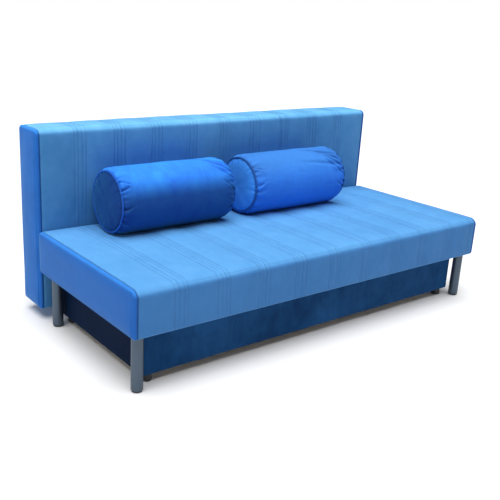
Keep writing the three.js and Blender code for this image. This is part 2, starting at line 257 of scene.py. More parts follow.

# %% [markdown]
# ## Velour
#
# Velour is a knit with a short dense pile. Where the pile leans away the cloth looks deep, and where it
# leans towards the eye it looks pale, so large soft clouds and small brushed marks run over it. The pile
# also catches light at grazing angles, which is what the sheen socket is for. Each velour piece carries
# three attributes, and the colour paints shade by them. `crease` is 1 in a seam, a stitched line or a
# fold; there the colour is darkened, partly as a dark seam line and partly as painted shade in the hollow.
# The end-panel attribute is 1 on panels that take their own colour: partly the cloth cut the other way and
# partly painted light and shade for how those faces are lit, and on the box's side boards a near-black
# painted shade. `steep` is 1 where a face stands upright or looks down; there the colour is darkened as
# painted shade, for the faces that the light from above misses.

# %% Velour finishes
def velour(name, pale, deep, across, sheen, spread_of_sheen, tint, cloud, steep_shade, gloss=0.2):
    finish = Finish(name)
    clouds = finish.noise(2.6, 3.0, 0.55, (1, 1.6, 1.6))
    rubbed = finish.noise(12.0, 4.0, 0.65, (1, 0.7, 0.7), 0.6)
    brushed = finish.noise(30.0, 5.0, 0.62, (1, 0.4, 0.4), 0.8)
    pile = finish.noise(1500.0, 2.0, 0.7)
    crease = finish.attribute("crease")
    nap_and_side_shade = finish.attribute("nap_and_side_shade")
    steep = finish.attribute("steep")
    lean = 0.5 + (clouds - 0.5) * (2.0 * cloud) + (rubbed - 0.5) * (1.6 * cloud)
    # Painted shade: the crease term pulls the colour towards the deep one in seams, stitched lines and folds.
    lean = (lean + (brushed - 0.5) * 0.9 - crease * 0.3).clamped()
    body = finish.blend(lean, rgba(deep), rgba(pale))
    # The end panels take the across colour: partly the cloth cut the other way, partly painted light and
    # shade for how those faces are lit; on the box's side boards it is painted shade.
    panel = finish.blend(nap_and_side_shade, body, finish.blend(lean, rgba([0.8 * c for c in across]), rgba(across)))
    # Painted shade: where steep is 1 the colour is darkened by steep_shade and turned bluer, for faces the
    # light from above misses.
    painted_face_shade = finish.blend(steep, (1, 1, 1, 1), (0.76 * steep_shade, 0.92 * steep_shade, 1.12 * steep_shade, 1))
    panel = finish.blend(1.0, panel, painted_face_shade, "MULTIPLY")
    # Painted shade: creases are also darkened towards a deep blue, partly a dark seam line and partly shade
    # in the hollow.
    crease_shade = finish.blend(crease, (1, 1, 1, 1), (0.22, 0.30, 0.42, 1))
    panel = finish.blend(1.0, panel, crease_shade, "MULTIPLY")
    speck = finish.blend(pile, (0.86, 0.86, 0.86, 1), (1.14, 1.14, 1.14, 1))
    colour = finish.blend(1.0, panel, speck, "MULTIPLY")
    relief = finish.bump(brushed, 0.25, 0.0012)
    normal = finish.bump(pile, 0.35, 0.0004, relief)
    return finish.surface(
        Base_Color=colour, Roughness=0.78 + (pile - 0.5) * 0.2, Normal=normal,
        Sheen_Weight=sheen, Sheen_Roughness=spread_of_sheen, Sheen_Tint=rgba(tint), Specular_IOR_Level=gloss)


# Painted shade: the seat's steep_shade of 0.56 darkens its front and the under sides of its edges.
SEAT_VELOUR = velour("seat_velour", (0.112, 0.360, 0.72), (0.074, 0.275, 0.60), (0.030, 0.229, 0.73),
                     0.22, 0.42, (0.34, 0.72, 1.0), 0.5, 0.56)
# Painted highlight: the back's pale colour is raised so that its top, which looks up, reads brighter; its
# steep_shade of 0.54 is painted shade that takes the face back down.
BACK_VELOUR = velour("back_velour", (0.185, 0.53, 0.90), (0.115, 0.405, 0.75), (0.034, 0.274, 0.843),
                     0.42, 0.30, (0.42, 0.76, 1.0), 0.9, 0.54)
# Painted shade: the royal blue bolster's steep_shade of 0.28 darkens the lower half of the roll and its end
# discs; the light bolster's 1.05 only tints them bluer.
BOLSTER_VELOUR = velour("bolster_velour", (0.040, 0.340, 0.98), (0.020, 0.170, 0.82), (0.0044, 0.158, 0.70),
                        0.42, 0.38, (0.14, 0.66, 1.0), 0.6, 0.28)
LIGHT_BOLSTER_VELOUR = velour("light_bolster_velour", (0.040, 0.230, 0.72), (0.036, 0.180, 0.58),
                              (0.085, 0.400, 0.98), 0.20, 0.42, (0.12, 0.56, 1.0), 0.6, 1.05)
# Painted shade: the box's across colour is near black, so its side boards look shaded.
BOX_VELOUR = velour("box_velour", (0.011, 0.076, 0.222), (0.003, 0.036, 0.120), (0.0008, 0.009, 0.038),
                    0.05, 0.45, (0.14, 0.45, 0.9), 1.0, 1.0, 0.08)


def thread(name, colour):
    finish = Finish(name)
    twist = finish.noise(2600.0, 2.0, 0.6)
    return finish.painted(twist, [0.7 * c for c in colour], colour, 0.62 + twist * 0.2, twist, 0.3, 0.0002)


SEAT_THREAD = thread("seat_thread", (0.045, 0.15, 0.36))
print("velour and thread finishes")

# %% [markdown]
# ## Hard finishes
#
# The tube legs are powder-coated steel in a satin grey. The hinge parts are zinc plated, the feet and
# glides moulded plastic. Inside, the frame is planed pine, the panels are plywood and the filling is foam.

# %% Metal, plastic, timber, foam and felt
def satin_steel():
    finish = Finish("satin_grey_steel")
    orange_peel = finish.noise(420.0, 2.0, 0.5)
    rubbed = finish.noise(9.0, 4.0, 0.6)
    return finish.painted(rubbed, (0.058, 0.084, 0.118), (0.090, 0.122, 0.162), 0.34 + rubbed * 0.12,
                          orange_peel, 0.12, 0.0003, Metallic=0.75)


def zinc_steel():
    finish = Finish("zinc_plated_steel")
    spangle = finish.add("ShaderNodeTexVoronoi", {}, {"Vector": finish.place(), "Scale": 120.0}, "Distance")
    scuffed = finish.noise(60.0, 4.0, 0.6, (1, 8, 1))
    return finish.painted(spangle, (0.50, 0.52, 0.54), (0.68, 0.69, 0.70), 0.28 + scuffed * 0.22,
                          scuffed, 0.1, 0.0002, Metallic=1.0)


def moulded_plastic():
    finish = Finish("moulded_black_plastic")
    grain = finish.noise(900.0, 2.0, 0.6)
    worn = finish.noise(14.0, 3.0, 0.5)
    return finish.painted(worn, (0.018, 0.019, 0.022), (0.04, 0.041, 0.045), 0.42 + worn * 0.2,
                          grain, 0.3, 0.0002)


def pine(grain=(0.08, 1, 1)):
    """grain squeezes the pattern along the timber's length."""
    finish = Finish("planed_pine")
    bands = finish.noise(26.0, 5.0, 0.62, grain, 1.4)
    fibre = finish.noise(240.0, 3.0, 0.6, grain)
    return finish.painted(bands, (0.48, 0.30, 0.14), (0.72, 0.52, 0.30), 0.55 + fibre * 0.2,
                          fibre, 0.3, 0.0004)


def birch_ply():
    finish = Finish("birch_plywood")
    figure = finish.noise(11.0, 4.0, 0.6, (0.12, 1, 0.12), 2.0)
    plies = finish.add("ShaderNodeTexWave", {"bands_direction": "Z"},
                       {"Vector": finish.place(), "Scale": 130.0, "Distortion": 0.4})
    return finish.painted(figure, (0.34, 0.30, 0.25), (0.48, 0.43, 0.36), 0.6, plies, 0.06, 0.0003)


def foam():
    finish = Finish("cut_foam")
    cells = finish.add("ShaderNodeTexVoronoi", {}, {"Vector": finish.place(), "Scale": 620.0}, "Distance")
    yellowed = finish.noise(4.0, 3.0, 0.5)
    return finish.painted(yellowed, (0.78, 0.73, 0.55), (0.86, 0.83, 0.70), 0.95, cells, 0.6, 0.0008)


def felt(name, pale, deep, scale):
    finish = Finish(name)
    fibres = finish.noise(scale, 4.0, 0.75, (1, 1, 1), 1.5)
    return finish.painted(fibres, deep, pale, 0.94, fibres, 0.5, 0.0005)


SATIN_STEEL = satin_steel()
ZINC_STEEL = zinc_steel()
BLACK_PLASTIC = moulded_plastic()
PINE = pine()
BIRCH_PLY = birch_ply()
FOAM = foam()
GREY_FELT = felt("grey_felt", (0.17, 0.17, 0.18), (0.08, 0.08, 0.09), 700.0)
BLACK_LINING = felt("black_lining", (0.030, 0.031, 0.034), (0.012, 0.012, 0.014), 1100.0)
print("hard finishes")

# %% [markdown]
# ## Meshes from numbers
#
# A cover is easiest to shape as a table of points. These helpers turn such a table into a mesh, write the
# attributes that the velour reads, and make soft noise that comes out the same on every run.

# %% Mesh helpers
def add_object(name, points, faces, finish, smooth=True):
    mesh = bpy.data.meshes.new(name)
    mesh.from_pydata([tuple(map(float, point)) for point in points], [], faces)
    mesh.materials.append(finish)
    mesh.polygons.foreach_set("use_smooth", [smooth] * len(mesh.polygons))
    mesh.update()
    return put(name, mesh)


def tube_faces(count, around, closed=False, flipped=False):
    """Quads between rings of points. closed joins the last ring to the first."""
    faces = []
    for ring in range(count if closed else count - 1):
        base, beyond = ring * around, (ring + 1) % count * around
        for k in range(around):
            after = (k + 1) % around
            quad = (base + k, base + after, beyond + after, beyond + k)
            faces.append((quad[0], *quad[:0:-1]) if flipped else quad)
    return faces


def write_attribute(piece, name, values):
    layer = piece.data.attributes.new(name, "FLOAT", "POINT")
    layer.data.foreach_set("value", np.asarray(values, np.float32))


def point_table(mesh):
    table = np.empty(len(mesh.vertices) * 3)
    mesh.vertices.foreach_get("co", table)
    return table.reshape(-1, 3)


def set_points(piece, points):
    piece.data.vertices.foreach_set("co", np.asarray(points, np.float32).ravel())
    piece.data.update()


def settle(piece):
    """Applies every modifier, so that what is left is a plain mesh."""
    seen = piece.evaluated_get(bpy.context.evaluated_depsgraph_get())
    plain = bpy.data.meshes.new_from_object(seen)
    piece.modifiers.clear()
    piece.data = plain
    return piece


def smooth_step(low, high, values):
    share = np.clip((np.asarray(values, float) - low) / (high - low), 0, 1)
    return share * share * (3 - 2 * share)


def soft_noise(first, second, seed, size=64):
    """Smooth noise from -1 to 1 over two tables of coordinates, one cell for each unit."""
    first, second = np.broadcast_arrays(first, second)
    grid = np.random.default_rng(seed).uniform(-1, 1, (size, size))
    low_first, low_second = np.floor(first).astype(int), np.floor(second).astype(int)
    part_first = smooth_step(0, 1, first - low_first)
    part_second = smooth_step(0, 1, second - low_second)
    a, b = low_first % size, low_second % size
    c, d = (low_first + 1) % size, (low_second + 1) % size
    near = grid[a, b] * (1 - part_second) + grid[a, d] * part_second
    far = grid[c, b] * (1 - part_second) + grid[c, d] * part_second
    return near * (1 - part_first) + far * part_first


def bell(values, width):
    return np.exp(-(np.asarray(values, float) / width) ** 2)


print("mesh helpers ready")

# %% [markdown]
# ## Letting cloth swell
#
# Blender's Cloth fills a cover for us: the sewn points are pinned, a little pressure inside pushes the
# rest out, and the cloth finds its own folds. Gravity is off, the steps are few, and no point may move
# further than a cap. The result is read back as plain points and the modifier is removed.

# %% Cloth helper
def swell(piece, hold, pressure, steps, cap):
    """The points of a piece after its cloth has been filled. hold is 1 where a point is sewn down."""
    start = point_table(piece.data)
    group = piece.vertex_groups.new(name="sewn")
    for weight in np.unique(np.round(hold, 2)):
        if weight > 0:
            group.add(np.flatnonzero(np.round(hold, 2) == weight).tolist(), float(weight), "REPLACE")
    cloth = piece.modifiers.new("swell", "CLOTH")
    settings = cloth.settings
    settings.quality = 5
    settings.mass = 0.25
    settings.tension_stiffness = 15.0
    settings.compression_stiffness = 15.0
    settings.shear_stiffness = 5.0
    settings.bending_stiffness = 0.5
    settings.vertex_group_mass = "sewn"
    settings.use_pressure = True
    settings.uniform_pressure_force = pressure
    settings.effector_weights.gravity = 0.0
    cloth.collision_settings.use_collision = False
    cloth.point_cache.frame_end = steps + 1
    scene = bpy.context.scene
    for step in range(1, steps + 1):
        scene.frame_set(step)
    seen = piece.evaluated_get(bpy.context.evaluated_depsgraph_get())
    moved = point_table(seen.data)
    piece.modifiers.clear()
    piece.vertex_groups.clear()
    scene.frame_set(1)
    shift = moved - start
    reach = np.linalg.norm(shift, axis=1, keepdims=True)
    return start + shift * np.minimum(1, cap / np.maximum(reach, 1e-9))


print("cloth helper ready")

# %% [markdown]
# ## A quilted slab
#
# Seat and back are made alike: a wide panel runs round the slab from the bottom of one face, over the soft
# long edge and down the other, and two plain panels close the ends. I make the slab as a table. Its columns
# run along X, its rows go once round the section, and each end is filled by a patch stretched between its
# four sides. `Section` knows the outline, with a radius for each long edge, and can be asked for a point
# anywhere on it.

# %% Section outline
class Section:
    """A closed outline in y, z. Its front, top, rear and bottom sides meet in the middle of its corners."""

    ARC_DENSITY = 4.0

    def __init__(self, low, high, radii):
        (y0, z0), (y1, z1) = low, high
        front_low, front_high, rear_high, rear_low = radii
        centres = [(y0 + front_low, z0 + front_low), (y0 + front_high, z1 - front_high),
                   (y1 - rear_high, z1 - rear_high), (y1 - rear_low, z0 + rear_low)]
        self.tall = z1 - z0 > y1 - y0
        self.sides = []
        for side in range(4):
            start, end = side, (side + 1) % 4
            facing = math.pi - side * math.pi / 2
            self.sides.append((np.array(centres[start]), radii[start],
                               np.array(centres[end]), radii[end], facing))

    def at(self, around):
        """Points and outward normals for positions around the outline, 0 to 4."""
        around = np.asarray(around, float) % 4
        points, normals = np.empty((len(around), 2)), np.empty((len(around), 2))
        for side, (centre_a, radius_a, centre_b, radius_b, facing) in enumerate(self.sides):
            chosen = np.floor(around).astype(int) == side
            share = around[chosen] - side
            quarter = math.pi / 4
            out = np.array([math.cos(facing), math.sin(facing)])
            straight = np.linalg.norm((centre_b + radius_b * out) - (centre_a + radius_a * out))
            weights = [self.ARC_DENSITY * radius_a * quarter, straight, self.ARC_DENSITY * radius_b * quarter]
            stops = np.cumsum([0] + weights) / sum(weights)
            angle = facing + quarter * (1 - np.clip(share / stops[1], 0, 1))
            angle = angle - quarter * np.clip((share - stops[2]) / (1 - stops[2]), 0, 1)
            normal = np.stack([np.cos(angle), np.sin(angle)], 1)
            along = np.clip((share - stops[1]) / (stops[2] - stops[1]), 0, 1)[:, None]
            start, end = centre_a + radius_a * out, centre_b + radius_b * out
            on_line = start + (end - start) * along
            radius = np.where(share < stops[1], radius_a, radius_b)[:, None]
            centre = np.where((share < stops[1])[:, None], centre_a, centre_b)
            on_arc = centre + radius * normal
            straight_part = ((share >= stops[1]) & (share <= stops[2]))[:, None]
            points[chosen] = np.where(straight_part, on_line, on_arc)
            normals[chosen] = np.where(straight_part, out, normal)
        return points, normals


print("section outline ready")

# %% [markdown]
# The quilting is sewn in groups of four close lines, one group about every 188 mm, and a hand-guided
# machine never runs quite straight. `quilt_lines` gives the lines' places, and `columns_for` puts columns
# where they are needed: close together at a stitched line, and further apart between.

# %% Quilting layout
SEAM_INSET = 17 * MM
END_ROUND = 14 * MM
GROUP_PITCH = 188 * MM
LINE_OFFSETS = (-29 * MM, -13 * MM, 9 * MM, 27 * MM)


def quilt_lines(half, first, seed):
    """The x of every stitched line between the end seams."""
    chance = np.random.default_rng(seed)
    lines = []
    centre = -half + first
    while centre < half - 30 * MM:
        for offset in LINE_OFFSETS:
            x = centre + offset + chance.uniform(-3, 3) * MM
            if abs(x) < half - 24 * MM:
                lines.append(x)
        centre += GROUP_PITCH
    return lines


def columns_for(half, lines, plain_step, beside):
    """x of each column and how far its ring is drawn in where the ends round over."""
    flat_half = half - END_ROUND
    marks = [x + offset for x in lines for offset in beside]
    marks += [sign * (half - SEAM_INSET + offset) for sign in (-1, 1) for offset in beside]
    marks = sorted(mark for mark in marks if abs(mark) < flat_half)
    marks = [-flat_half] + marks + [flat_half]
    places = [marks[0]]
    for mark in marks[1:]:
        gap = mark - places[-1]
        if gap < 0.9 * MM:
            continue
        parts = max(1, math.ceil(gap / plain_step))
        places += [places[-1] + gap * part / parts for part in range(1, parts + 1)]
    turn = [math.radians(angle) for angle in (18, 36, 54, 72, 90)]
    rounded = [(flat_half + END_ROUND * math.sin(a), END_ROUND * (1 - math.cos(a))) for a in turn]
    table = [(-x, inset) for x, inset in reversed(rounded)] + [(x, 0.0) for x in places] + rounded
    return np.array(table)


print("quilting layout ready")

# %% [markdown]
# `Slab` joins columns and rows into one closed mesh. It keeps the place of every point in the table, so
# the same slab can be made coarse for the cloth and fine for the finished mesh, and the swelling carried
# from one to the other.

# %% Slab table
class Slab:
    def __init__(self, section, half, columns, long_steps, short_steps):
        """long_steps is the number of rows over the section's two longer sides."""
        self.half = half
        self.columns = columns
        sides = [short_steps, long_steps, short_steps, long_steps]
        if section.tall:
            sides = [long_steps, short_steps, long_steps, short_steps]
        self.side_steps = sides
        self.around = np.concatenate([side + np.arange(steps) / steps for side, steps in enumerate(sides)])
        self.outline, self.normals = section.at(self.around)
        rings = self.outline[None] - columns[:, 1][:, None, None] * self.normals[None]
        x = np.repeat(columns[:, 0][:, None], len(self.around), 1)
        self.wrap = np.concatenate([x[..., None], rings], 2)
        self.caps = [self.patch(rings[0], -half), self.patch(rings[-1], half)]

    def patch(self, ring, x):
        """Inner points of an end panel, stretched between its four sides."""
        n_front, n_top = self.side_steps[0], self.side_steps[1]
        closed = np.vstack([ring, ring[:1]])
        front = closed[:n_front + 1]
        top = closed[n_front:n_front + n_top + 1]
        rear = closed[n_front + n_top:2 * n_front + n_top + 1][::-1]
        bottom = closed[2 * n_front + n_top:][::-1]
        u = np.linspace(0, 1, n_top + 1)[:, None, None]
        v = np.linspace(0, 1, n_front + 1)[None, :, None]
        surface = ((1 - u) * front[None] + u * rear[None] + (1 - v) * bottom[:, None] + v * top[:, None]
                   - (1 - u) * (1 - v) * bottom[0] - u * (1 - v) * bottom[-1]
                   - (1 - u) * v * top[0] - u * v * top[-1])
        inner = surface[1:-1, 1:-1]
        return np.concatenate([np.full((*inner.shape[:2], 1), x), inner], 2)

    def points(self):
        return np.vstack([self.wrap.reshape(-1, 3)] + [cap.reshape(-1, 3) for cap in self.caps])

    def faces(self):
        rows = len(self.around)
        count = len(self.columns)
        faces = tube_faces(count, rows, flipped=True)
        start = count * rows
        for cap, ring_start, turned in ((self.caps[0], 0, True), (self.caps[1], (count - 1) * rows, False)):
            faces += self.cap_faces(cap.shape[:2], start, ring_start, turned)
            start += cap.shape[0] * cap.shape[1]
        return faces

    def cap_faces(self, inner, start, ring_start, turned):
        n_front, n_top = self.side_steps[0], self.side_steps[1]
        rows = len(self.around)

        def index(u, v):
            if u == 0:
                return ring_start + v
            if v == n_front:
                return ring_start + n_front + u
            if u == n_top:
                return ring_start + n_front + n_top + (n_front - v)
            if v == 0:
                return ring_start + (2 * n_front + n_top + (n_top - u)) % rows
            return start + (u - 1) * inner[1] + (v - 1)

        faces = []
        for u in range(n_top):
            for v in range(n_front):
                face = (index(u, v), index(u + 1, v), index(u + 1, v + 1), index(u, v + 1))
                faces.append(face[::-1] if turned else face)
        return faces


print("slab table ready")

# %% [markdown]
# The cloth only has to find how the cover swells between its stitched lines, so it runs on a coarse slab
# and takes a second or two. Its shift is then spread over the fine slab's table.

# %% Cloth on the coarse slab
def spread(table, old_first, old_second, new_first, new_second):
    """A table of vectors read at new coordinates, straight between its own."""
    first = np.apply_along_axis(lambda values: np.interp(new_first, old_first, values), 0, table)
    return np.apply_along_axis(lambda values: np.interp(new_second, old_second, values), 1, first)


def quilt_mask(around, last):
    """1 on the sides that are quilted: from the front's lower edge, over the long edge, to position last."""
    return smooth_step(0.02, 0.10, around) * (1 - smooth_step(last - 0.06, last, around))


def swollen(section, half, lines, steps, quilted_to, pressure, cap):
    """How far the cover swells, as tables over the wrap and over each end panel of a coarse slab."""
    columns = columns_for(half, lines, 34 * MM, (0,))
    coarse = Slab(section, half, columns, *steps)
    body = add_object("coarse_slab", coarse.points(), coarse.faces(), SEAT_VELOUR)
    x, inset = columns[:, 0], columns[:, 1]
    nearest = np.min(np.abs(x[:, None] - np.array(lines)[None]), 1)
    ends = (inset > 0) | (np.abs(np.abs(x) - (half - SEAM_INSET)) < 1 * MM)
    sewn = np.outer(nearest < 0.5 * MM, quilt_mask(coarse.around, quilted_to) > 0.5)
    sewn |= ends[:, None] | (coarse.around >= 3)[None]
    hold = np.zeros(len(coarse.points()))
    hold[:sewn.size] = sewn.ravel()
    shift = swell(body, hold, pressure, 10, cap) - coarse.points()
    bpy.data.objects.remove(body)
    wrap = shift[:sewn.size].reshape(coarse.wrap.shape)
    caps = [np.pad(part.reshape(cap_table.shape), ((1, 1), (1, 1), (0, 0)))
            for part, cap_table in zip(np.split(shift[sewn.size:], 2), coarse.caps)]
    return coarse, wrap, caps


print("coarse cloth ready")

# %% [markdown]
# The fine slab adds what cloth on a foam block shows close up: a valley at every stitched line and end
# seam, short puckers beside them, a soft crown, and a slight unevenness along the edges. `reach_out` says
# which way is outwards at each point of the table.

# %% Fine slab
LINE_DEPTH, LINE_WIDTH = 1.5 * MM, 3.0 * MM
SEAM_DEPTH, SEAM_WIDTH = 3.2 * MM, 2.4 * MM
BESIDE_LINE = tuple(offset * MM for offset in (-7, -4.2, -2.4, -1.1, 0, 1.1, 2.4, 4.2, 7))
QUILT_WANDER = 2.6 * MM
STITCH_LIFT = 0.2 * MM
COARSE_STEPS, FINE_STEPS = (26, 8), (62, 22)


def arc_lengths(outline):
    steps = np.linalg.norm(np.diff(np.vstack([outline, outline[:1]]), axis=0), axis=1)
    return np.concatenate([[0], np.cumsum(steps)[:-1]])


def steepness(upward):
    """1 where a face stands upright or looks down, 0 where it looks up."""
    return 1 - smooth_step(0.15, 0.85, upward)


def reach_out(slab, rounding=END_ROUND):
    """Outward directions over the wrap, turning from the section's normal to straight out at the ends."""
    lean = np.clip(slab.columns[:, 1] / rounding, 0, 1)
    across = np.sin(np.arccos(1 - lean)) * np.sign(slab.columns[:, 0])
    level = (1 - lean)[:, None, None] * slab.normals[None]
    return np.concatenate([np.repeat(across[:, None], len(slab.around), 1)[..., None], level], 2)


def slab_relief(slab, half, lines, quilted, crown, pull_range, worn, seed):
    """How far each point of the wrap stands out, with its stitched valleys and end seams."""
    x, arc, around = slab.columns[:, :1], arc_lengths(slab.outline)[None], slab.around[None]
    from_seam = half - SEAM_INSET - np.abs(x)
    inside = slab.columns[:, 1:] == 0
    beside = np.abs(x - np.array(lines)[None])
    near = beside.min(1)[:, None]
    pull = np.random.default_rng(seed + 9).uniform(*pull_range, len(lines))[beside.argmin(1)][:, None]
    pull = pull * (1 - worn * smooth_step(-0.2 * half, 0.6 * half, x))
    fading = 0.55 + 0.45 * soft_noise(x / (14 * MM), arc / (95 * MM), seed + 8)
    valley = bell(near, LINE_WIDTH) * pull * quilted * fading
    seam = bell(from_seam, SEAM_WIDTH) * ((around < 2.98) & (around > 0.02)) * inside
    ripple_seam = soft_noise(np.sign(x) * 3, arc / (15 * MM), seed + 1)
    ripple_line = soft_noise(x / (30 * MM), arc / (8 * MM), seed + 2)
    clouds = soft_noise(x / (170 * MM), arc / (130 * MM), seed + 3)
    free = (around < 2.9) & (around > 0.05)
    height = (
        -LINE_DEPTH * valley - SEAM_DEPTH * seam
        + 1.0 * MM * ripple_seam * np.exp(-np.clip(from_seam, 0, 1) / (26 * MM)) * free * inside
        + 0.45 * MM * ripple_line * bell(near, 9 * MM) * quilted
        + 1.1 * MM * clouds * free * smooth_step(0, 60 * MM, from_seam)
        + crown(x, slab.outline[None, :, 0], slab.outline[None, :, 1], around))
    wander = QUILT_WANDER * soft_noise(x / GROUP_PITCH, arc / (150 * MM), seed + 4)
    return height, wander * smooth_step(0, 40 * MM, from_seam), valley, seam


def swell_caps(slab, coarse, tables, seed):
    """Carries the swelling over to the end panels and adds a slight bulge."""
    (n_front, n_top), (c_front, c_top) = slab.side_steps[:2], coarse.side_steps[:2]
    for side, (cap, table) in enumerate(zip(slab.caps, tables)):
        cap += spread(table, np.linspace(0, 1, c_top + 1), np.linspace(0, 1, c_front + 1),
                      np.linspace(0, 1, n_top + 1)[1:-1], np.linspace(0, 1, n_front + 1)[1:-1])
        u = np.linspace(-1, 1, n_top + 1)[1:-1, None]
        v = np.linspace(-1, 1, n_front + 1)[None, 1:-1]
        bulge = (1 - u ** 4) * (1 - v ** 4)
        uneven = soft_noise(3 * u, 3 * v, seed + side)
        cap[..., 0] += (-1, 1)[side] * (2.0 * bulge + 0.8 * uneven * bulge) * MM


def dress_slab(name, section, first_group, seed, quilted_to, crown, finish, half, pull_range, worn=0.0):
    """A quilted cover and the runs of points that its stitches follow."""
    lines = quilt_lines(half, first_group, seed)
    coarse, wrap_shift, cap_shifts = swollen(section, half, lines, COARSE_STEPS, quilted_to, 1.4, 4.5 * MM)
    slab = Slab(section, half, columns_for(half, lines, 15 * MM, BESIDE_LINE), *FINE_STEPS)
    x = slab.columns[:, 0]
    quilted = quilt_mask(slab.around, quilted_to)
    height, wander, valley, seam = slab_relief(slab, half, lines, quilted, crown, pull_range, worn, seed)
    closed = np.concatenate([wrap_shift, wrap_shift[:, :1]], 1)
    shift = spread(closed, coarse.columns[:, 0], np.append(coarse.around, 4.0), x, slab.around)
    outward = reach_out(slab)
    slab.wrap = slab.wrap + shift + outward * height[..., None]
    slab.wrap[..., 0] += wander
    swell_caps(slab, coarse, cap_shifts, seed + 5)
    body = add_object(name, slab.points(), slab.faces(), finish)
    rest = len(slab.points()) - height.size
    crossing = smooth_step(half - SEAM_INSET - 1 * MM, half - SEAM_INSET + 1 * MM, np.abs(x))
    # Painted shade: crease darkens the stitched valleys and end seams, partly as a dark seam line and partly
    # as shade in the hollow. steep marks the steep faces and the end panels, whose colour is darkened as
    # painted shade; the end-panel attribute gives the ends their own colour, partly painted light and shade.
    for label, table, on_caps in (
            ("crease", np.clip(0.42 * valley + 0.9 * seam, 0, 1), 0.0),
            ("nap_and_side_shade", np.repeat(crossing, len(slab.around)), 1.0),
            ("steep", steepness(outward[..., 2]), 1.0)):
        write_attribute(body, label, np.append(table.ravel(), np.full(rest, on_caps)))
    runs = []
    for line in lines:
        column = int(np.argmin(np.abs(x - line)))
        runs.append((slab.wrap + STITCH_LIFT * outward)[column, quilted > 0.5])
    print(name, len(body.data.polygons), "faces,", len(lines), "stitched lines")
    return body, runs


print("slab dressing ready")

# %% [markdown]
# ## Stitches
#
# Thousands of stitches follow the sewn lines, so Geometry Nodes place them: the lines become curves, the
# curves become points one stitch apart, and a small five-sided thread lies along the curve at each point.
# The screws later are placed alike, so one function builds both trees from lists of nodes and links.

# %% Placing trees
def placing_tree(name, inputs, kinds, links, **settings):
    """A tree that copies something to points. links are written "node.socket > node.socket"."""
    tree = bpy.data.node_groups.new(name, "GeometryNodeTree")
    for label, kind in {"Geometry": "Geometry", **inputs}.items():
        tree.interface.new_socket(label, in_out="INPUT", socket_type="NodeSocket" + kind)
    tree.interface.new_socket("Geometry", in_out="OUTPUT", socket_type="NodeSocketGeometry")
    kinds = {"given": "NodeGroupInput", "result": "NodeGroupOutput",
             "along": "FunctionNodeAlignRotationToVector", "copies": "GeometryNodeInstanceOnPoints",
             "solid": "GeometryNodeRealizeInstances", "coat": "GeometryNodeSetMaterial", **kinds}
    nodes = {label: tree.nodes.new(kind) for label, kind in kinds.items()}
    for label, (setting, value) in {"along": ("axis", "Z"), **settings}.items():
        setattr(nodes[label], setting, value)
    for link in links + ("along.Rotation > copies.Rotation", "copies.Instances > solid.Geometry",
                         "solid.Geometry > coat.Geometry", "given.Finish > coat.Material",
                         "coat.Geometry > result.Geometry"):
        (start, output), (end, socket) = (place.split(".") for place in link.split(" > "))
        tree.links.new(nodes[start].outputs[output], nodes[end].inputs[socket])
    return tree, nodes


def grow(piece, tree, values):
    """Runs a tree on a piece with these inputs and keeps the result as a plain mesh."""
    layer = piece.modifiers.new(tree.name, "NODES")
    layer.node_group = tree
    sockets = {item.name: item.identifier for item in tree.interface.items_tree if item.in_out == "INPUT"}
    for label, value in values.items():
        layer[sockets[label]] = value
    print(piece.name, len(settle(piece).data.polygons), "faces")


def stitch_tree():
    tree, nodes = placing_tree(
        "stitches", {"Pitch": "Float", "Length": "Float", "Radius": "Float", "Finish": "Material"},
        {"curve": "GeometryNodeMeshToCurve", "points": "GeometryNodeCurveToPoints",
         "stitch": "GeometryNodeMeshCylinder"},
        ("given.Geometry > curve.Mesh", "curve.Curve > points.Curve", "given.Pitch > points.Length",
         "given.Length > stitch.Depth", "given.Radius > stitch.Radius", "points.Tangent > along.Vector",
         "points.Points > copies.Points", "stitch.Mesh > copies.Instance"), points=("mode", "LENGTH"))
    nodes["stitch"].inputs["Vertices"].default_value = 5
    return tree


STITCHES = stitch_tree()


def sew(name, runs, finish, body, slot, pitch=6.5 * MM, length=4.4 * MM, radius=0.42 * MM):
    """One piece that holds the stitches along every run of points."""
    points, edges = [], []
    for run in runs:
        first = len(points)
        points += [tuple(map(float, point)) for point in run]
        edges += [(first + k, first + k + 1) for k in range(len(run) - 1)]
    mesh = bpy.data.meshes.new(name)
    mesh.from_pydata(points, edges, [])
    piece = stand_in(put(name, mesh), slot, body)
    grow(piece, STITCHES, {"Pitch": pitch, "Length": length, "Radius": radius, "Finish": finish})


print("stitch tree ready")

# %% [markdown]
# ## The seat
#
# The seat's cover is drawn over foam: the top is crowned by a few millimetres, the long front edge is soft
# and slightly wavy, and the two bolsters press it down a little where they lie. Under the slab the cover
# turns in as a hem, and the middle is set back to leave room for the dust cover.

# %% Seat cover
def middle(bounds, axis):
    return (bounds[0][axis] + bounds[1][axis]) / 2


def hem_recess(x, y, around, half, low, high, hem=17 * MM, depth=3.1 * MM):
    """Inward step on the under side, inside the hem."""
    inner = smooth_step(0, 4 * MM, half - hem - np.abs(x))
    inner = inner * smooth_step(0, 4 * MM, y - low - hem) * smooth_step(0, 4 * MM, high - hem - y)
    return -depth * inner * (around > 3.02) * (around < 3.98)


seat_low, seat_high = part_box("seat_cover")
SEAT_HALF = seat_high.x + 9 * MM
bolsters = {side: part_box(f"bolster_cover_{side}") for side in ("left", "right")}


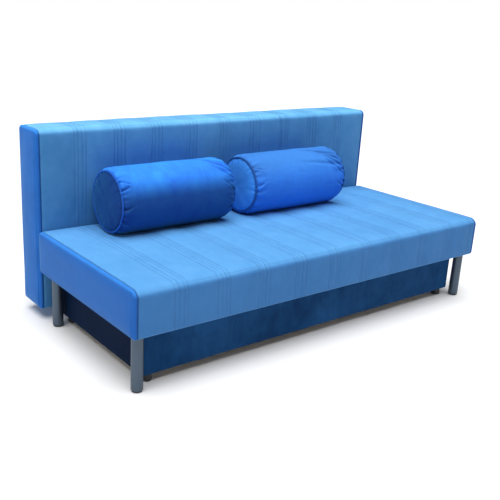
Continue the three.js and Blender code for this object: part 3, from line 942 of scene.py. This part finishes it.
def seat_crown(x, y, z, around):
    width = 1 - (x / SEAT_HALF) ** 8
    share = np.clip((y - seat_low.y) / (seat_high.y - seat_low.y), 0, 1)
    on_top = (around > 1) & (around < 2)
    rise = 5.0 * MM * width * np.clip(1 - (2 * share - 0.9) ** 2, 0, 1) ** 0.8 * on_top
    for bounds in bolsters.values():
        beside = smooth_step(-60 * MM, 30 * MM, x - bounds[0].x)
        beside = beside * smooth_step(-60 * MM, 30 * MM, bounds[1].x - x)
        rise = rise - 8.0 * MM * beside * bell(y - middle(bounds, 1), 75 * MM) * on_top
    front = 2.5 * MM * width * np.clip(1 - np.abs(2 * around - 1) ** 3, 0, 1) * (around < 1)
    uneven = soft_noise(x / (75 * MM), 0.5, 15)
    slump = -2.6 * MM * bell(around - 1, 0.12) * (0.6 + 0.55 * uneven)
    return rise + front + slump + hem_recess(x, y, around, SEAT_HALF, seat_low.y, seat_high.y)


SEAT_RADII = (12 * MM, 32 * MM, 16 * MM, 12 * MM)
seat_section = Section((seat_low.y, seat_low.z), (seat_high.y, seat_high.z), SEAT_RADII)
seat_cover, seat_runs = dress_slab("seat_quilted_cover", seat_section, 195 * MM, 11, 2.6, seat_crown,
                                   SEAT_VELOUR, SEAT_HALF, (0.12, 0.62), 0.65)
stand_in(seat_cover, "pale_blue_velour", "seat", "seat_cover")
sew("seat_quilt_stitches", seat_runs, SEAT_THREAD, "seat", "pale_blue_velour")

# %% [markdown]
# ## The back
#
# The back is the same kind of slab stood on its edge. Its face is nearly flat, because it is also a bed.
# Low down it has two slits on each side for the swing arms, cut with a Boolean modifier.

# %% Back cover
back_low, back_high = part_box("back_cover")
BACK_HALF = back_high.x + 6 * MM


def back_crown(x, y, z, around):
    width = 1 - (x / BACK_HALF) ** 8
    above_seat = smooth_step(seat_high.z + 20 * MM, seat_high.z + 160 * MM, z)
    face = 3.5 * MM * width * above_seat * smooth_step(0, 90 * MM, back_high.z - z) * (around < 1)
    top = 2.5 * MM * width * np.clip(1 - np.abs(2 * (around - 1) - 1) ** 3, 0, 1)
    top = top * (around > 1) * (around < 2)
    slump = -1.6 * MM * bell(around - 1, 0.10) * (0.6 + 0.4 * np.sin(x * 11.0 + 1.3))
    return face + top + slump


BACK_RADII = (12 * MM, 26 * MM, 20 * MM, 12 * MM)
back_section = Section((back_low.y, back_low.z), (back_high.y, back_high.z), BACK_RADII)
back_cover, back_runs = dress_slab("back_quilted_cover", back_section, 195 * MM, 23, 2.05, back_crown,
                                   BACK_VELOUR, BACK_HALF, (0.3, 1.0))


def cut_boxes(piece, boxes):
    points, faces = [], []
    for (x0, y0, z0), (x1, y1, z1) in boxes:
        first = len(points)
        points += [(x, y, z) for z in (z0, z1) for y in (y0, y1) for x in (x0, x1)]
        faces += [tuple(first + k for k in face) for face in
                  ((0, 2, 3, 1), (4, 5, 7, 6), (0, 1, 5, 4), (2, 6, 7, 3), (0, 4, 6, 2), (1, 3, 7, 5))]
    tool = add_object("cutter", points, faces, piece.data.materials[0], smooth=False)
    removal = piece.modifiers.new("cut", "BOOLEAN")
    removal.operation = "DIFFERENCE"
    removal.solver = "EXACT"
    removal.object = tool
    settle(piece)
    bpy.data.objects.remove(tool)


SLIT_HALF, SLIT_HEIGHT, NOTCH_HEIGHT, NOTCH_START = 8 * MM, 60 * MM, 158 * MM, 112 * MM
HAIR = 0.01 * MM
arms = {side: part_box(f"swing_arm_{side}") for side in ("left", "right")}
slits, notches = [], []
for bounds in arms.values():
    x = middle(bounds, 0)
    low = back_low.z - 20 * MM
    far = back_high.y + 20 * MM
    slits.append(((x - SLIT_HALF, back_low.y - 20 * MM, low), (x + SLIT_HALF, far, back_low.z + SLIT_HEIGHT)))
    notches.append(((x - SLIT_HALF + HAIR, back_low.y + NOTCH_START, low),
                    (x + SLIT_HALF - HAIR, far, back_low.z + NOTCH_HEIGHT)))
cut_boxes(back_cover, slits)
cut_boxes(back_cover, notches)
stand_in(back_cover, "pale_blue_velour", "back", "back_cover")
sew("back_quilt_stitches", back_runs, SEAT_THREAD, "back", "pale_blue_velour")
print("back cover", len(back_cover.data.polygons), "faces after the slits")

# %% [markdown]
# ## Round pieces
#
# Bolsters, legs and feet are all a row of rings closed at both ends. One helper joins rings into a mesh
# whose faces point outwards, and `turned` makes the rings of a lathed piece from its profile.

# %% Rings and lathed pieces
def ring_mesh(name, rings, finish):
    """rings is a table of rings and points, each ring turned the same way; both ends close in a pole."""
    count, around = rings.shape[:2]
    points = np.vstack([rings.reshape(-1, 3), rings[0].mean(0)[None], rings[-1].mean(0)[None]])
    first_pole, last_pole = count * around, count * around + 1
    faces = tube_faces(count, around)
    last = (count - 1) * around
    for k in range(around):
        after = (k + 1) % around
        faces.append((first_pole, after, k))
        faces.append((last_pole, last + k, last + after))
    return add_object(name, points, faces, finish)


def sharpen(piece, angle=32):
    piece.data.set_sharp_from_angle(angle=math.radians(angle))
    return piece


def turned(name, centre, profile, finish, around=48, axis="z"):
    """A lathed piece. profile lists (radius, height) from the lower end to the upper one."""
    angle = np.arange(around) * math.tau / around
    rings = []
    for radius, height in profile:
        across, up = radius * np.cos(angle), radius * np.sin(angle)
        level = np.full(around, height)
        ring = (across, up, level) if axis == "z" else (level, across, up)
        rings.append(np.stack(ring, 1) + np.array(centre))
    return sharpen(ring_mesh(name, np.array(rings), finish))


print("rings ready")

# %% [markdown]
# ## Bolsters
#
# A bolster is a tube of cloth sewn to two round end panels over a cord of piping, round a foam roll. Sewing
# a tube on to a smaller circle gathers it: short grooves run out from each seam. Where the roll was
# pushed into its cover, longer folds curve in from the seam. I place both kinds by rule, let the cloth swell
# between its pinned seams, and then press the bolster down on the seat, so it is flat only where it lies.

# %% Bolster outline
SEAM_BACK, SEAM_DROP, RIM_REACH, DOME = 12 * MM, 15 * MM, 11 * MM, 11 * MM
SINK = 3.0 * MM
PIPING_RADIUS = 3.5 * MM
BOLSTER_RADIUS = (bolsters["left"][1].z - bolsters["left"][0].z) / 2


def growing_steps(total, first, ratio, largest):
    """Distances from 0 to total, fine at both ends."""
    half = [0.0]
    step = first
    while half[-1] + step < total / 2:
        half.append(half[-1] + step)
        step = min(step * ratio, largest)
    return np.array(half + [total / 2] + [total - place for place in reversed(half)])


def bolster_outline(half, fine):
    """x, radius and distance from the left seam for each ring; below 0 and above total are the end panels."""
    seam_x = half - SEAM_BACK
    seam_radius = BOLSTER_RADIUS - SEAM_DROP
    tube = growing_steps(2 * seam_x, 1.3 * MM if fine else 5 * MM, 1.11, 7.5 * MM if fine else 22 * MM)
    from_end = np.minimum(tube, 2 * seam_x - tube)
    radius = BOLSTER_RADIUS - SEAM_DROP * np.exp(-from_end / RIM_REACH)
    radius = radius + 1.5 * MM * bell(from_end - 30 * MM, 22 * MM)
    shares = np.linspace(0.05, 1, 19 if fine else 7)[:-1] ** 0.62
    dome = DOME * (1 - shares ** 2) ** 0.62
    left = np.stack([-seam_x - dome, shares * seam_radius, -(1 - shares) * seam_radius], 1)
    middle_part = np.stack([tube - seam_x, radius, tube], 1)
    right = np.stack([seam_x + dome, shares * seam_radius, 2 * seam_x + (1 - shares) * seam_radius], 1)[::-1]
    return np.vstack([left, middle_part, right]), 2 * seam_x


# %% Gathers and folds
def gathers(angle, inward, seed, reach, count=30, width=0.040):
    """Short grooves that start at a seam, each with its own depth, length and slant."""
    chance = np.random.default_rng(seed)
    total = 0.0
    for place in range(count):
        centre = math.tau * (place + chance.uniform(-0.3, 0.3)) / count
        long = reach * chance.uniform(0.4, 1.4)
        deep = chance.uniform(0.35, 1.15)
        slant = chance.uniform(-1.6, 1.6)
        away = (angle - centre - slant * inward + math.pi) % math.tau - math.pi
        total = total + deep * bell(away, width * (1 + inward / 0.05)) * np.exp(-inward / long)
    return total


def fold(angle, inward, end, bend, reach, depth, width):
    """A long fold that leaves a seam at angle `end` and bends away over its reach."""
    share = np.clip(inward / reach, 0, 1)
    path = end - bend * share ** 0.8
    off = ((angle - path + math.pi) % math.tau - math.pi) * BOLSTER_RADIUS
    strength = depth * (1 - smooth_step(0.5, 1.0, share)) * (0.5 + 0.5 * smooth_step(0, 0.15, share))
    return strength * (0.75 * bell(off - 1.9 * width, 1.3 * width) - bell(off, width))


print("bolster outline ready")

# %% [markdown]
# Each fold is a row of numbers: the seam it leaves (-1 left, 1 right), the angle there, how far it bends,
# its reach, depth and width. Angles are counted from the rear over the top, so 90 is the top of the roll
# and 180 its front.

# %% Bolster covers
FOLDS = {
    "left": [(1, 108, 26, 130, 6.6, 6.5), (1, 124, 36, 168, 8.2, 7.0), (1, 140, 44, 140, 7.4, 6.0),
             (1, 156, 42, 110, 6.4, 5.5), (1, 177, 32, 74, 4.6, 5.0), (1, 198, 16, 56, 4.0, 5.0),
             (-1, 128, -14, 66, 5.0, 5.0), (-1, 186, 12, 60, 4.8, 5.0), (-1, 150, 8, 54, 4.6, 4.5),
             (-1, 205, -8, 46, 4.0, 4.5)],
    "right": [(1, 128, 34, 260, 6.6, 8.5), (1, 144, 46, 210, 6.8, 8.0), (1, 160, 52, 170, 6.0, 7.0),
              (1, 178, 48, 126, 5.2, 6.5), (1, 112, 20, 160, 5.2, 7.5), (1, 200, 22, 76, 4.4, 5.0),
              (1, 150, 20, 330, 4.0, 10.0), (-1, 132, -12, 70, 4.4, 5.0), (-1, 175, 12, 58, 4.2, 5.0)],
}


def bolster_table(side, half, centre, fine, seed):
    outline, length = bolster_outline(half, fine)
    around = 256 if fine else 96
    angle = np.arange(around)[None] * math.tau / around
    x, radius, along = (outline[:, k][:, None] for k in range(3))
    on_tube = (along >= 0) & (along <= length)
    height, groove_shade = np.zeros((2, len(x), around))
    for sign in (-1, 1):
        inward = np.abs(along if sign < 0 else length - along)
        near = (along < length / 2) if sign < 0 else (along > length / 2)
        drawn = gathers(angle, inward, seed + sign, 34 * MM) * on_tube
        on_panel = ~on_tube * bell(inward, 26 * MM)
        drawn = drawn + 0.7 * gathers(angle, inward, seed + sign, 10 * MM) * on_panel
        drawn = drawn * near * smooth_step(-0.5 * MM, 5 * MM, inward)
        height = height + (2.6 - 11.0 * drawn) * MM * bell(inward, 64 * MM) * near
        # Painted shade: the gathers also darken the colour along their grooves.
        groove_shade = groove_shade + 0.46 * drawn
    for seam, end, bend, reach, depth, width in FOLDS[side]:
        inward = along if seam < 0 else length - along
        line = fold(angle, inward, math.radians(end), math.radians(bend),
                    reach * MM, depth * MM, width * MM)
        height = height + line * on_tube
        # Painted shade: the sunken part of each fold is darkened.
        groove_shade = groove_shade - 0.10 * np.minimum(line, 0) / MM * on_tube
    soft = soft_noise(x / (85 * MM), 5.5 * angle, seed + 5)
    fine_soft = soft_noise(x / (30 * MM), 13.0 * angle, seed + 6)
    free = smooth_step(0, 30 * MM, np.minimum(np.abs(along), np.abs(length - along)))
    height = height + (1.8 * soft + 0.6 * fine_soft) * MM * free * on_tube
    wrinkled = soft_noise(radius * np.cos(angle) / (34 * MM), radius * np.sin(angle) / (34 * MM), seed + 7)
    height = height + 2.4 * wrinkled * MM * ~on_tube * smooth_step(0, 25 * MM, np.abs(along))
    crowned = 3.0 * MM * np.sin(np.clip(along / length, 0, 1) * math.pi)
    reach_here = radius + np.where(on_tube, height + crowned, 0)
    ring_y = centre[1] + reach_here * np.cos(angle)
    ring_z = centre[2] + reach_here * np.sin(angle)
    ring_x = centre[0] + x + np.where(on_tube, 0, np.sign(x) * height)
    # Painted shade: a narrow ring at each seam is darkened, for the crevice beside the piping.
    seam = bell(np.minimum(np.abs(along), np.abs(length - along)) + 0 * angle, 4.0 * MM)
    return outline, angle[0], np.stack([ring_x, ring_y, ring_z], 2), np.clip(groove_shade + seam, 0, 1)


def swollen_bolster(side, half, centre, seed):
    """The cloth's shift on a coarse bolster: its seams are pinned and the filling pushes the rest out."""
    outline, angle, rings, _ = bolster_table(side, half, centre, False, seed)
    body = ring_mesh("coarse_bolster", rings, BOLSTER_VELOUR)
    seam_x = half - SEAM_BACK
    sewn = np.repeat(np.abs(np.abs(outline[:, 0]) - seam_x) < 0.1 * MM, len(angle)).astype(float)
    hold = np.append(sewn, [0, 0])
    shift = swell(body, hold, 2.6, 12, 6 * MM) - point_table(body.data)
    bpy.data.objects.remove(body)
    return outline, angle, shift[:-2].reshape(rings.shape)


def press_on(points, seat, gap=0.5 * MM):
    """Lifts the points that would lie below the seat's surface on to it."""
    low = points[:, 2].min() + 16 * MM
    for index in np.flatnonzero(points[:, 2] < low):
        x, y, z = points[index]
        found, place, _, _ = seat.ray_cast(Vector((x, y, low + 20 * MM)), Vector((0, 0, -1)))
        if found and z < place.z + gap:
            points[index, 2] = place.z + gap
    return points


def piping(name, ring, finish, around=10):
    """A closed cord of piping along a seam's ring of points."""
    middle_point = ring.mean(0)
    outward = ring - middle_point
    outward[:, 0] = 0
    outward /= np.linalg.norm(outward, axis=1, keepdims=True)
    centre = ring + outward * 1.3 * MM
    turn = np.arange(around) * math.tau / around
    level = np.array([1.0, 0, 0])
    tube = (centre[:, None] + PIPING_RADIUS * (np.cos(turn)[None, :, None] * outward[:, None]
                                               + np.sin(turn)[None, :, None] * level[None, None]))
    piece = add_object(name, tube.reshape(-1, 3), tube_faces(len(ring), around, closed=True), finish)
    # Painted shade: the whole cord is darkened by a crease of 0.75, for the shade it sits in beside the seam.
    write_attribute(piece, "crease", np.full(len(ring) * around, 0.75))
    return piece


def make_bolster(side, seed, cloth):
    low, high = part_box(f"bolster_cover_{side}")
    half = (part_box(f"bolster_end_panel_{side}")[1].x - low.x) / 2
    centre = (low.x + half, (low.y + high.y) / 2, (low.z + high.z) / 2 - SINK)
    coarse_outline, coarse_angle, shift = swollen_bolster(side, half, centre, seed)
    outline, angle, rings, crease = bolster_table(side, half, centre, True, seed)
    closed = np.concatenate([shift, shift[:, :1]], 1)
    rings = rings + spread(closed, coarse_outline[:, 2], np.append(coarse_angle, math.tau),
                           outline[:, 2], angle)
    flat = press_on(rings.reshape(-1, 3).copy(), seat_cover)
    rings = flat.reshape(rings.shape)
    cover = ring_mesh(f"bolster_cover_{side}_cloth", rings, cloth)
    length = 2 * (half - SEAM_BACK)
    panel = np.repeat((outline[:, 2] < 0) | (outline[:, 2] > length), len(angle)).astype(float)
    write_attribute(cover, "crease", np.append(crease.ravel(), [0, 0]))
    # The end discs take the across colour: partly the cloth cut the other way, partly painted light and shade
    # for how each disc is lit.
    write_attribute(cover, "nap_and_side_shade", np.append(panel, [1, 1]))
    # Painted shade: the lower half of the roll and both end discs are marked steep, so their colour is
    # darkened.
    steep = np.maximum(np.tile(steepness(np.sin(angle)), len(outline)), panel)
    write_attribute(cover, "steep", np.append(steep, [1, 1]))
    stand_in(cover, "royal_blue_velour", f"bolster_{side}", f"bolster_cover_{side}",
             f"bolster_end_panel_{side}")
    for end, place in (("outer", 0.0), ("inner", length)):
        seam = int(np.argmin(np.abs(outline[:, 2] - place)))
        cord = piping(f"bolster_piping_{side}_{end}", rings[seam], cloth)
        stand_in(cord, "royal_blue_velour", f"bolster_{side}")
    radius, reach = BOLSTER_RADIUS - 16 * MM, half - 22 * MM
    blunt, bevel = radius - 6 * MM, 6 * MM
    core = turned(f"bolster_roll_{side}", centre, [
        (blunt, -reach), (radius, bevel - reach), (radius, reach - bevel), (blunt, reach)], FOAM, 64, "x")
    stand_in(core, "foam", f"bolster_{side}", f"bolster_core_{side}")
    print(f"bolster_{side}", len(cover.data.polygons), "faces, lowest", round(float(flat[:, 2].min()), 4))


make_bolster("left", 31, BOLSTER_VELOUR)
make_bolster("right", 47, LIGHT_BOLSTER_VELOUR)

# %% [markdown]
# ## Storage box
#
# The box is chipboard covered in navy velour over thin wadding, so its boards have soft edges and faces that
# are not quite flat. Each is a small slab again. The rear one gets its two slots for the swing arms.

# %% Covered boards
BOARD_ROUNDING = 4 * MM


def board_columns(half, step=16 * MM):
    flat_half = half - BOARD_ROUNDING
    places = np.linspace(-flat_half, flat_half, max(3, int(2 * flat_half / step)))
    turn = np.radians((30, 60, 90))
    rounded = np.stack([flat_half + BOARD_ROUNDING * np.sin(turn), BOARD_ROUNDING * (1 - np.cos(turn))], 1)
    mirrored = rounded[::-1] * (-1, 1)
    return np.vstack([mirrored, np.stack([places, 0 * places], 1), rounded])


def covered_board(node, along, outer, bulge, seed):
    """A board covered in cloth. outer is the side that swells: 1 for the section's front, -1 for its rear."""
    low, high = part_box(node)
    size = high - low
    length, thick = (size.x, size.y) if along == "x" else (size.y, size.x)
    columns = board_columns(length / 2)
    section = Section((-thick / 2, low.z), (thick / 2, high.z), (BOARD_ROUNDING,) * 4)
    slab = Slab(section, length / 2, columns, 14, 4)
    x, around = slab.columns[:, 0][:, None], slab.around[None]
    face = (around < 1) if outer > 0 else (around > 2) & (around < 3)
    share = around % 1
    padding = bulge * (1 - (2 * x / length) ** 10) * (1 - np.abs(2 * share - 1) ** 4)
    clouds = soft_noise(x / (120 * MM), 4.0 * share, seed)
    pulls = soft_noise(x / (24 * MM), 0.0, seed + 1)
    edge = bell(share - 1, 0.22) + bell(share, 0.22)
    height = (padding + bulge * (0.45 * clouds + 0.30 * pulls * edge)) * face
    height = height * smooth_step(0, 20 * MM, length / 2 - np.abs(x))
    slab.wrap = slab.wrap + reach_out(slab, BOARD_ROUNDING) * height[..., None]
    points = slab.points()
    centre_x, centre_y = (low.x + high.x) / 2, (low.y + high.y) / 2
    if along == "x":
        points = points + np.array([centre_x, centre_y, 0])
    else:
        points = np.stack([centre_x - points[:, 1], centre_y + points[:, 0], points[:, 2]], 1)
    board = add_object(node + "_cloth", points, slab.faces(), BOX_VELOUR)
    # Painted shade: the side boards are marked to take the box's near-black across colour.
    if along == "y":
        write_attribute(board, "nap_and_side_shade", np.ones(len(points)))
    return board


BOARDS = (("front", "x", 1, 2.4), ("rear", "x", -1, 1.4), ("left", "y", -1, 0.9), ("right", "y", 1, 0.9))
boards = {f"box_{side}_panel": covered_board(f"box_{side}_panel", along, outer, bulge * MM, 61 + place)
          for place, (side, along, outer, bulge) in enumerate(BOARDS)}
rear_low, rear_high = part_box("box_rear_panel")
rear_slots = []
for bounds in arms.values():
    x = middle(bounds, 0)
    rear_slots.append(((x - SLIT_HALF, rear_low.y - 10 * MM, bounds[0].z - 5 * MM),
                       (x + SLIT_HALF, rear_high.y + 10 * MM, rear_high.z + 10 * MM)))
cut_boxes(boards["box_rear_panel"], rear_slots)
for node, board in boards.items():
    stand_in(board, "navy_velour", "storage_box", node)
    print(board.name, len(board.data.polygons), "faces")

# %% [markdown]
# ## Legs, feet and glides
#
# Each tube leg is screwed to the slab with a round plate and stands on a plastic glide with a rounded foot.
# They are lathed from profiles, with small radii where the light catches an edge.

# %% Lathed legs and feet
def lathe_node(node, profile, finish, slot, body):
    """profile gives (inset, height) rows in millimetres, from the node's own height in millimetres."""
    low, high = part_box(node)
    radius = (high.x - low.x) / 2
    rows = [(radius - inset * MM, low.z + height * MM) for inset, height in profile((high.z - low.z) / MM)]
    piece = turned(node + "_turned", (middle((low, high), 0), middle((low, high), 1), 0), rows, finish, 64)
    stand_in(piece, slot, body, node)


def leg_profile(tall):
    return [(5, 0), (2, 0), (0.7, 0.6), (0, 2.2), (0, 40), (0, tall - 7.5), (-0.7, tall - 6.5),
            (-2.2, tall - 4.5), (-3.2, tall - 1.2), (-3.4, tall - 0.3), (-2, tall)]


def plate_profile(tall):
    return [(6, 0), (1.6, 0), (0.5, 0.3), (0, 1.2), (0, tall - 0.6), (0.5, tall)]


def foot_profile(tall):
    lip = min(3, 0.45 * tall)
    return [(8, 0), (3.4, 0), (1.3, 0.25 * lip), (0.3, 0.65 * lip), (0, lip), (0, 0.72 * tall),
            (0.5, 0.76 * tall), (0.5, tall - 0.4), (1, tall)]


for end in ("front", "rear"):
    for side in ("left", "right"):
        lathe_node(f"leg_tube_{end}_{side}", leg_profile, SATIN_STEEL, "satin_steel", "seat")
        lathe_node(f"leg_plate_{end}_{side}", plate_profile, SATIN_STEEL, "satin_steel", "seat")
        lathe_node(f"leg_glide_{end}_{side}", foot_profile, BLACK_PLASTIC, "black_plastic", "seat")
        lathe_node(f"box_foot_{end}_{side}", foot_profile, BLACK_PLASTIC, "black_plastic", "storage_box")
print("four legs and four feet")

# %% [markdown]
# ## Frame parts with softened edges
#
# The timber, boards and steel inside keep the CAD's shape. Sawn and pressed edges are never knife sharp, so
# a copy of each node gets its doubles merged and a narrow bevel, and stands in for the node. The foam
# blocks are trimmed by a few millimetres as well, as real foam is squeezed by its cover.

# %% Softened copies
def softened(node, finish, slot, body, bevel, trim=None):
    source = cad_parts[node]
    piece = put(node + "_softened", source.data.copy())
    piece.data.materials.clear()
    piece.data.materials.append(finish)
    work = bmesh.new()
    work.from_mesh(piece.data)
    bmesh.ops.remove_doubles(work, verts=work.verts, dist=0.01 * MM)
    bmesh.ops.dissolve_limit(work, angle_limit=math.radians(1), verts=work.verts, edges=work.edges)
    work.to_mesh(piece.data)
    work.free()
    if trim:
        low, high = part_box(node)
        low, high = np.array(low) + np.array(trim[0]) * MM, np.array(high) - np.array(trim[1]) * MM
        set_points(piece, np.clip(point_table(piece.data), low, high))
    edge = piece.modifiers.new("softened edge", "BEVEL")
    edge.width = bevel
    edge.segments = 2
    edge.limit_method = "ANGLE"
    edge.angle_limit = math.radians(40)
    stand_in(sharpen(settle(piece), 50), slot, body, node)
    print(piece.name, len(piece.data.polygons), "faces")


PINE_UP, PINE_DEEP = pine((1, 1, 0.08)), pine((1, 0.08, 1))
FRAME_PARTS = (
    ("seat_front_rail seat_rear_rail", PINE, "timber", "seat", 2.0),
    ("seat_left_rail seat_right_rail seat_centre_rail", PINE_DEEP, "timber", "seat", 2.0),
    ("seat_deck", BIRCH_PLY, "plywood", "seat", 0.6),
    ("back_top_rail back_bottom_rail", PINE, "timber", "back", 2.0),
    ("back_left_rail back_right_rail back_centre_rail", PINE_UP, "timber", "back", 2.0),
    ("back_board", BIRCH_PLY, "plywood", "back", 0.5),
    ("box_floor_left box_floor_right box_divider", BIRCH_PLY, "plywood", "storage_box", 0.8),
    ("rest_pad_left rest_pad_right", GREY_FELT, "grey_felt", "storage_box", 0.8),
    ("guide_shoe_left guide_shoe_right", BLACK_PLASTIC, "black_plastic", "seat", 1.4),
    ("swing_arm_left swing_arm_right", ZINC_STEEL, "zinc_steel", "swing_arms", 0.8),
    ("pivot_plate_left pivot_plate_right pivot_pin_left pivot_pin_right", ZINC_STEEL, "zinc_steel",
     "storage_box", 0.6),
    ("hinge_bracket_left hinge_bracket_right hinge_pin_left hinge_pin_right", ZINC_STEEL, "zinc_steel",
     "back", 0.6))
for nodes, finish, slot, body, bevel in FRAME_PARTS:
    for node in nodes.split():
        softened(node, finish, slot, body, bevel * MM)
softened("seat_foam", FOAM, "foam", "seat", 3 * MM, ((15, 15, 0), (15, 15, 13)))
softened("back_foam", FOAM, "foam", "back", 3 * MM, ((15, 13, 13), (15, 0, 13)))
print("foam blocks trimmed")

# %% [markdown]
# ## Dust cover
#
# A black spunbond sheet closes the seat's under side. It is stretched over the hem and stapled, so it only
# sags by a millimetre or two between its staples. It is a thin closed sheet with its own cut size.

# %% Dust cover
SHEET_THICKNESS = 0.7 * MM


def stretched_sheet(name, low, high, level, finish, sag, seed, steps=(74, 30)):
    x = np.linspace(low.x, high.x, steps[0] + 1)[:, None]
    y = np.linspace(low.y, high.y, steps[1] + 1)[None]
    across = 2 * (x - low.x) / (high.x - low.x) - 1
    along = 2 * (y - low.y) / (high.y - low.y) - 1
    free = (1 - across ** 6) * (1 - along ** 6)
    waves = soft_noise(x / (110 * MM), y / (80 * MM), seed)
    z = level - sag * free * (0.7 + 0.3 * waves)
    lower = np.stack([x + 0 * y, y + 0 * x, z], 2).reshape(-1, 3)
    upper = lower + (0, 0, SHEET_THICKNESS)
    count, wide = len(lower), steps[1] + 1
    faces = []
    for i in range(steps[0]):
        for j in range(steps[1]):
            a = i * wide + j
            quad = (a, a + 1, a + wide + 1, a + wide)
            faces.append(quad)
            faces.append(tuple(count + k for k in quad[::-1]))
    rim = [i * wide for i in range(steps[0] + 1)] + [steps[0] * wide + j for j in range(1, wide)]
    rim += [i * wide + wide - 1 for i in range(steps[0] - 1, -1, -1)] + [j for j in range(wide - 2, 0, -1)]
    for k, a in enumerate(rim):
        b = rim[(k + 1) % len(rim)]
        faces.append((a, b, count + b, count + a))
    return add_object(name, np.vstack([lower, upper]), faces, finish), lower[rim]


dust_low, dust_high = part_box("seat_dust_cover")
dust_cover, dust_rim = stretched_sheet(
    "seat_dust_cover_cloth", dust_low, dust_high, dust_low.z + 1.2 * MM, BLACK_LINING, 1.6 * MM, 71)
stand_in(dust_cover, "black_lining", "seat", "seat_dust_cover")
STAPLE_OUT = 8 * MM


def outward(value, low, high):
    """A step away from the sheet's middle for a value at one of its two edges, and none elsewhere."""
    at_edge = min(abs(value - low), abs(value - high)) < 0.1 * MM
    return math.copysign(STAPLE_OUT, value - (low + high) / 2) * at_edge


staple_run = [Vector(point) + Vector((outward(point[0], dust_low.x, dust_high.x),
                                      outward(point[1], dust_low.y, dust_high.y), -0.1 * MM))
              for point in dust_rim]
sew("dust_cover_staples", [staple_run + staple_run[:1]], ZINC_STEEL, "seat", "zinc_steel",
    pitch=46 * MM, length=10 * MM, radius=0.5 * MM)
print("dust cover and staples")

# %% [markdown]
# ## Screws
#
# Every plate is held by countersunk screws. One small head with a round socket is lathed, and Geometry
# Nodes set it on each given point, turned to that point's normal.

# %% Screws
def screw_tree():
    tree, nodes = placing_tree(
        "screws", {"Screw": "Object", "Size": "Float", "Finish": "Material"},
        {"facing": "GeometryNodeInputNamedAttribute", "head": "GeometryNodeObjectInfo"},
        ("given.Screw > head.Object", "given.Geometry > copies.Points", "head.Geometry > copies.Instance",
         "given.Size > copies.Scale", "facing.Attribute > along.Vector"),
        facing=("data_type", "FLOAT_VECTOR"))
    nodes["facing"].inputs["Name"].default_value = "facing"
    return tree


SCREWS = screw_tree()
HEAD_PROFILE = ((4.0, -0.6), (4.0, 0.2), (3.3, 0.8), (2.3, 1.1), (1.6, 0.9), (1.6, 0.9), (1.5, 0.0))
head = turned("screw_head", (0, 0, 0), [(radius * MM, height * MM) for radius, height in HEAD_PROFILE],
              ZINC_STEEL, 12)


def set_screws(name, places, body, size=1.0):
    """places lists (point, facing) pairs."""
    mesh = bpy.data.meshes.new(name)
    mesh.from_pydata([tuple(point) for point, _ in places], [], [])
    facing = mesh.attributes.new("facing", "FLOAT_VECTOR", "POINT")
    facing.data.foreach_set("vector", np.array([way for _, way in places], np.float32).ravel())
    piece = stand_in(put(name, mesh), "zinc_steel", body)
    grow(piece, SCREWS, {"Screw": head, "Size": size, "Finish": ZINC_STEEL})
    sharpen(piece)


leg_screws, pivot_screws = [], []
for side, sign in (("left", -1), ("right", 1)):
    for end in ("front", "rear"):
        low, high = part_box(f"leg_plate_{end}_{side}")
        x, y, reach = middle((low, high), 0), middle((low, high), 1), (high.x - low.x) / 2 - 3.6 * MM
        for turn in np.radians((45, 135, 225, 315)):
            leg_screws.append(((x + reach * math.cos(turn), y + reach * math.sin(turn), low.z), (0, 0, -1)))
    low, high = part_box(f"pivot_plate_{side}")
    inner = low.x if sign > 0 else high.x
    for y in (low.y + 12 * MM, high.y - 12 * MM):
        for z in (low.z + 10 * MM, high.z - 10 * MM):
            pivot_screws.append(((inner, y, z), (-sign, 0, 0)))
set_screws("leg_plate_screws", leg_screws, "seat", 0.75)
set_screws("pivot_plate_screws", pivot_screws, "storage_box")
bpy.data.objects.remove(head)

# %% [markdown]
# ## Closing the frame
#
# Every CAD node now has a dressed piece in its place, and the cell lists any that still shows. The visual
# model may stand a little proud of the CAD box, no more.

# %% CAD nodes still showing
print("CAD nodes still showing:", [name for name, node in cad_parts.items() if not node.hide_render])
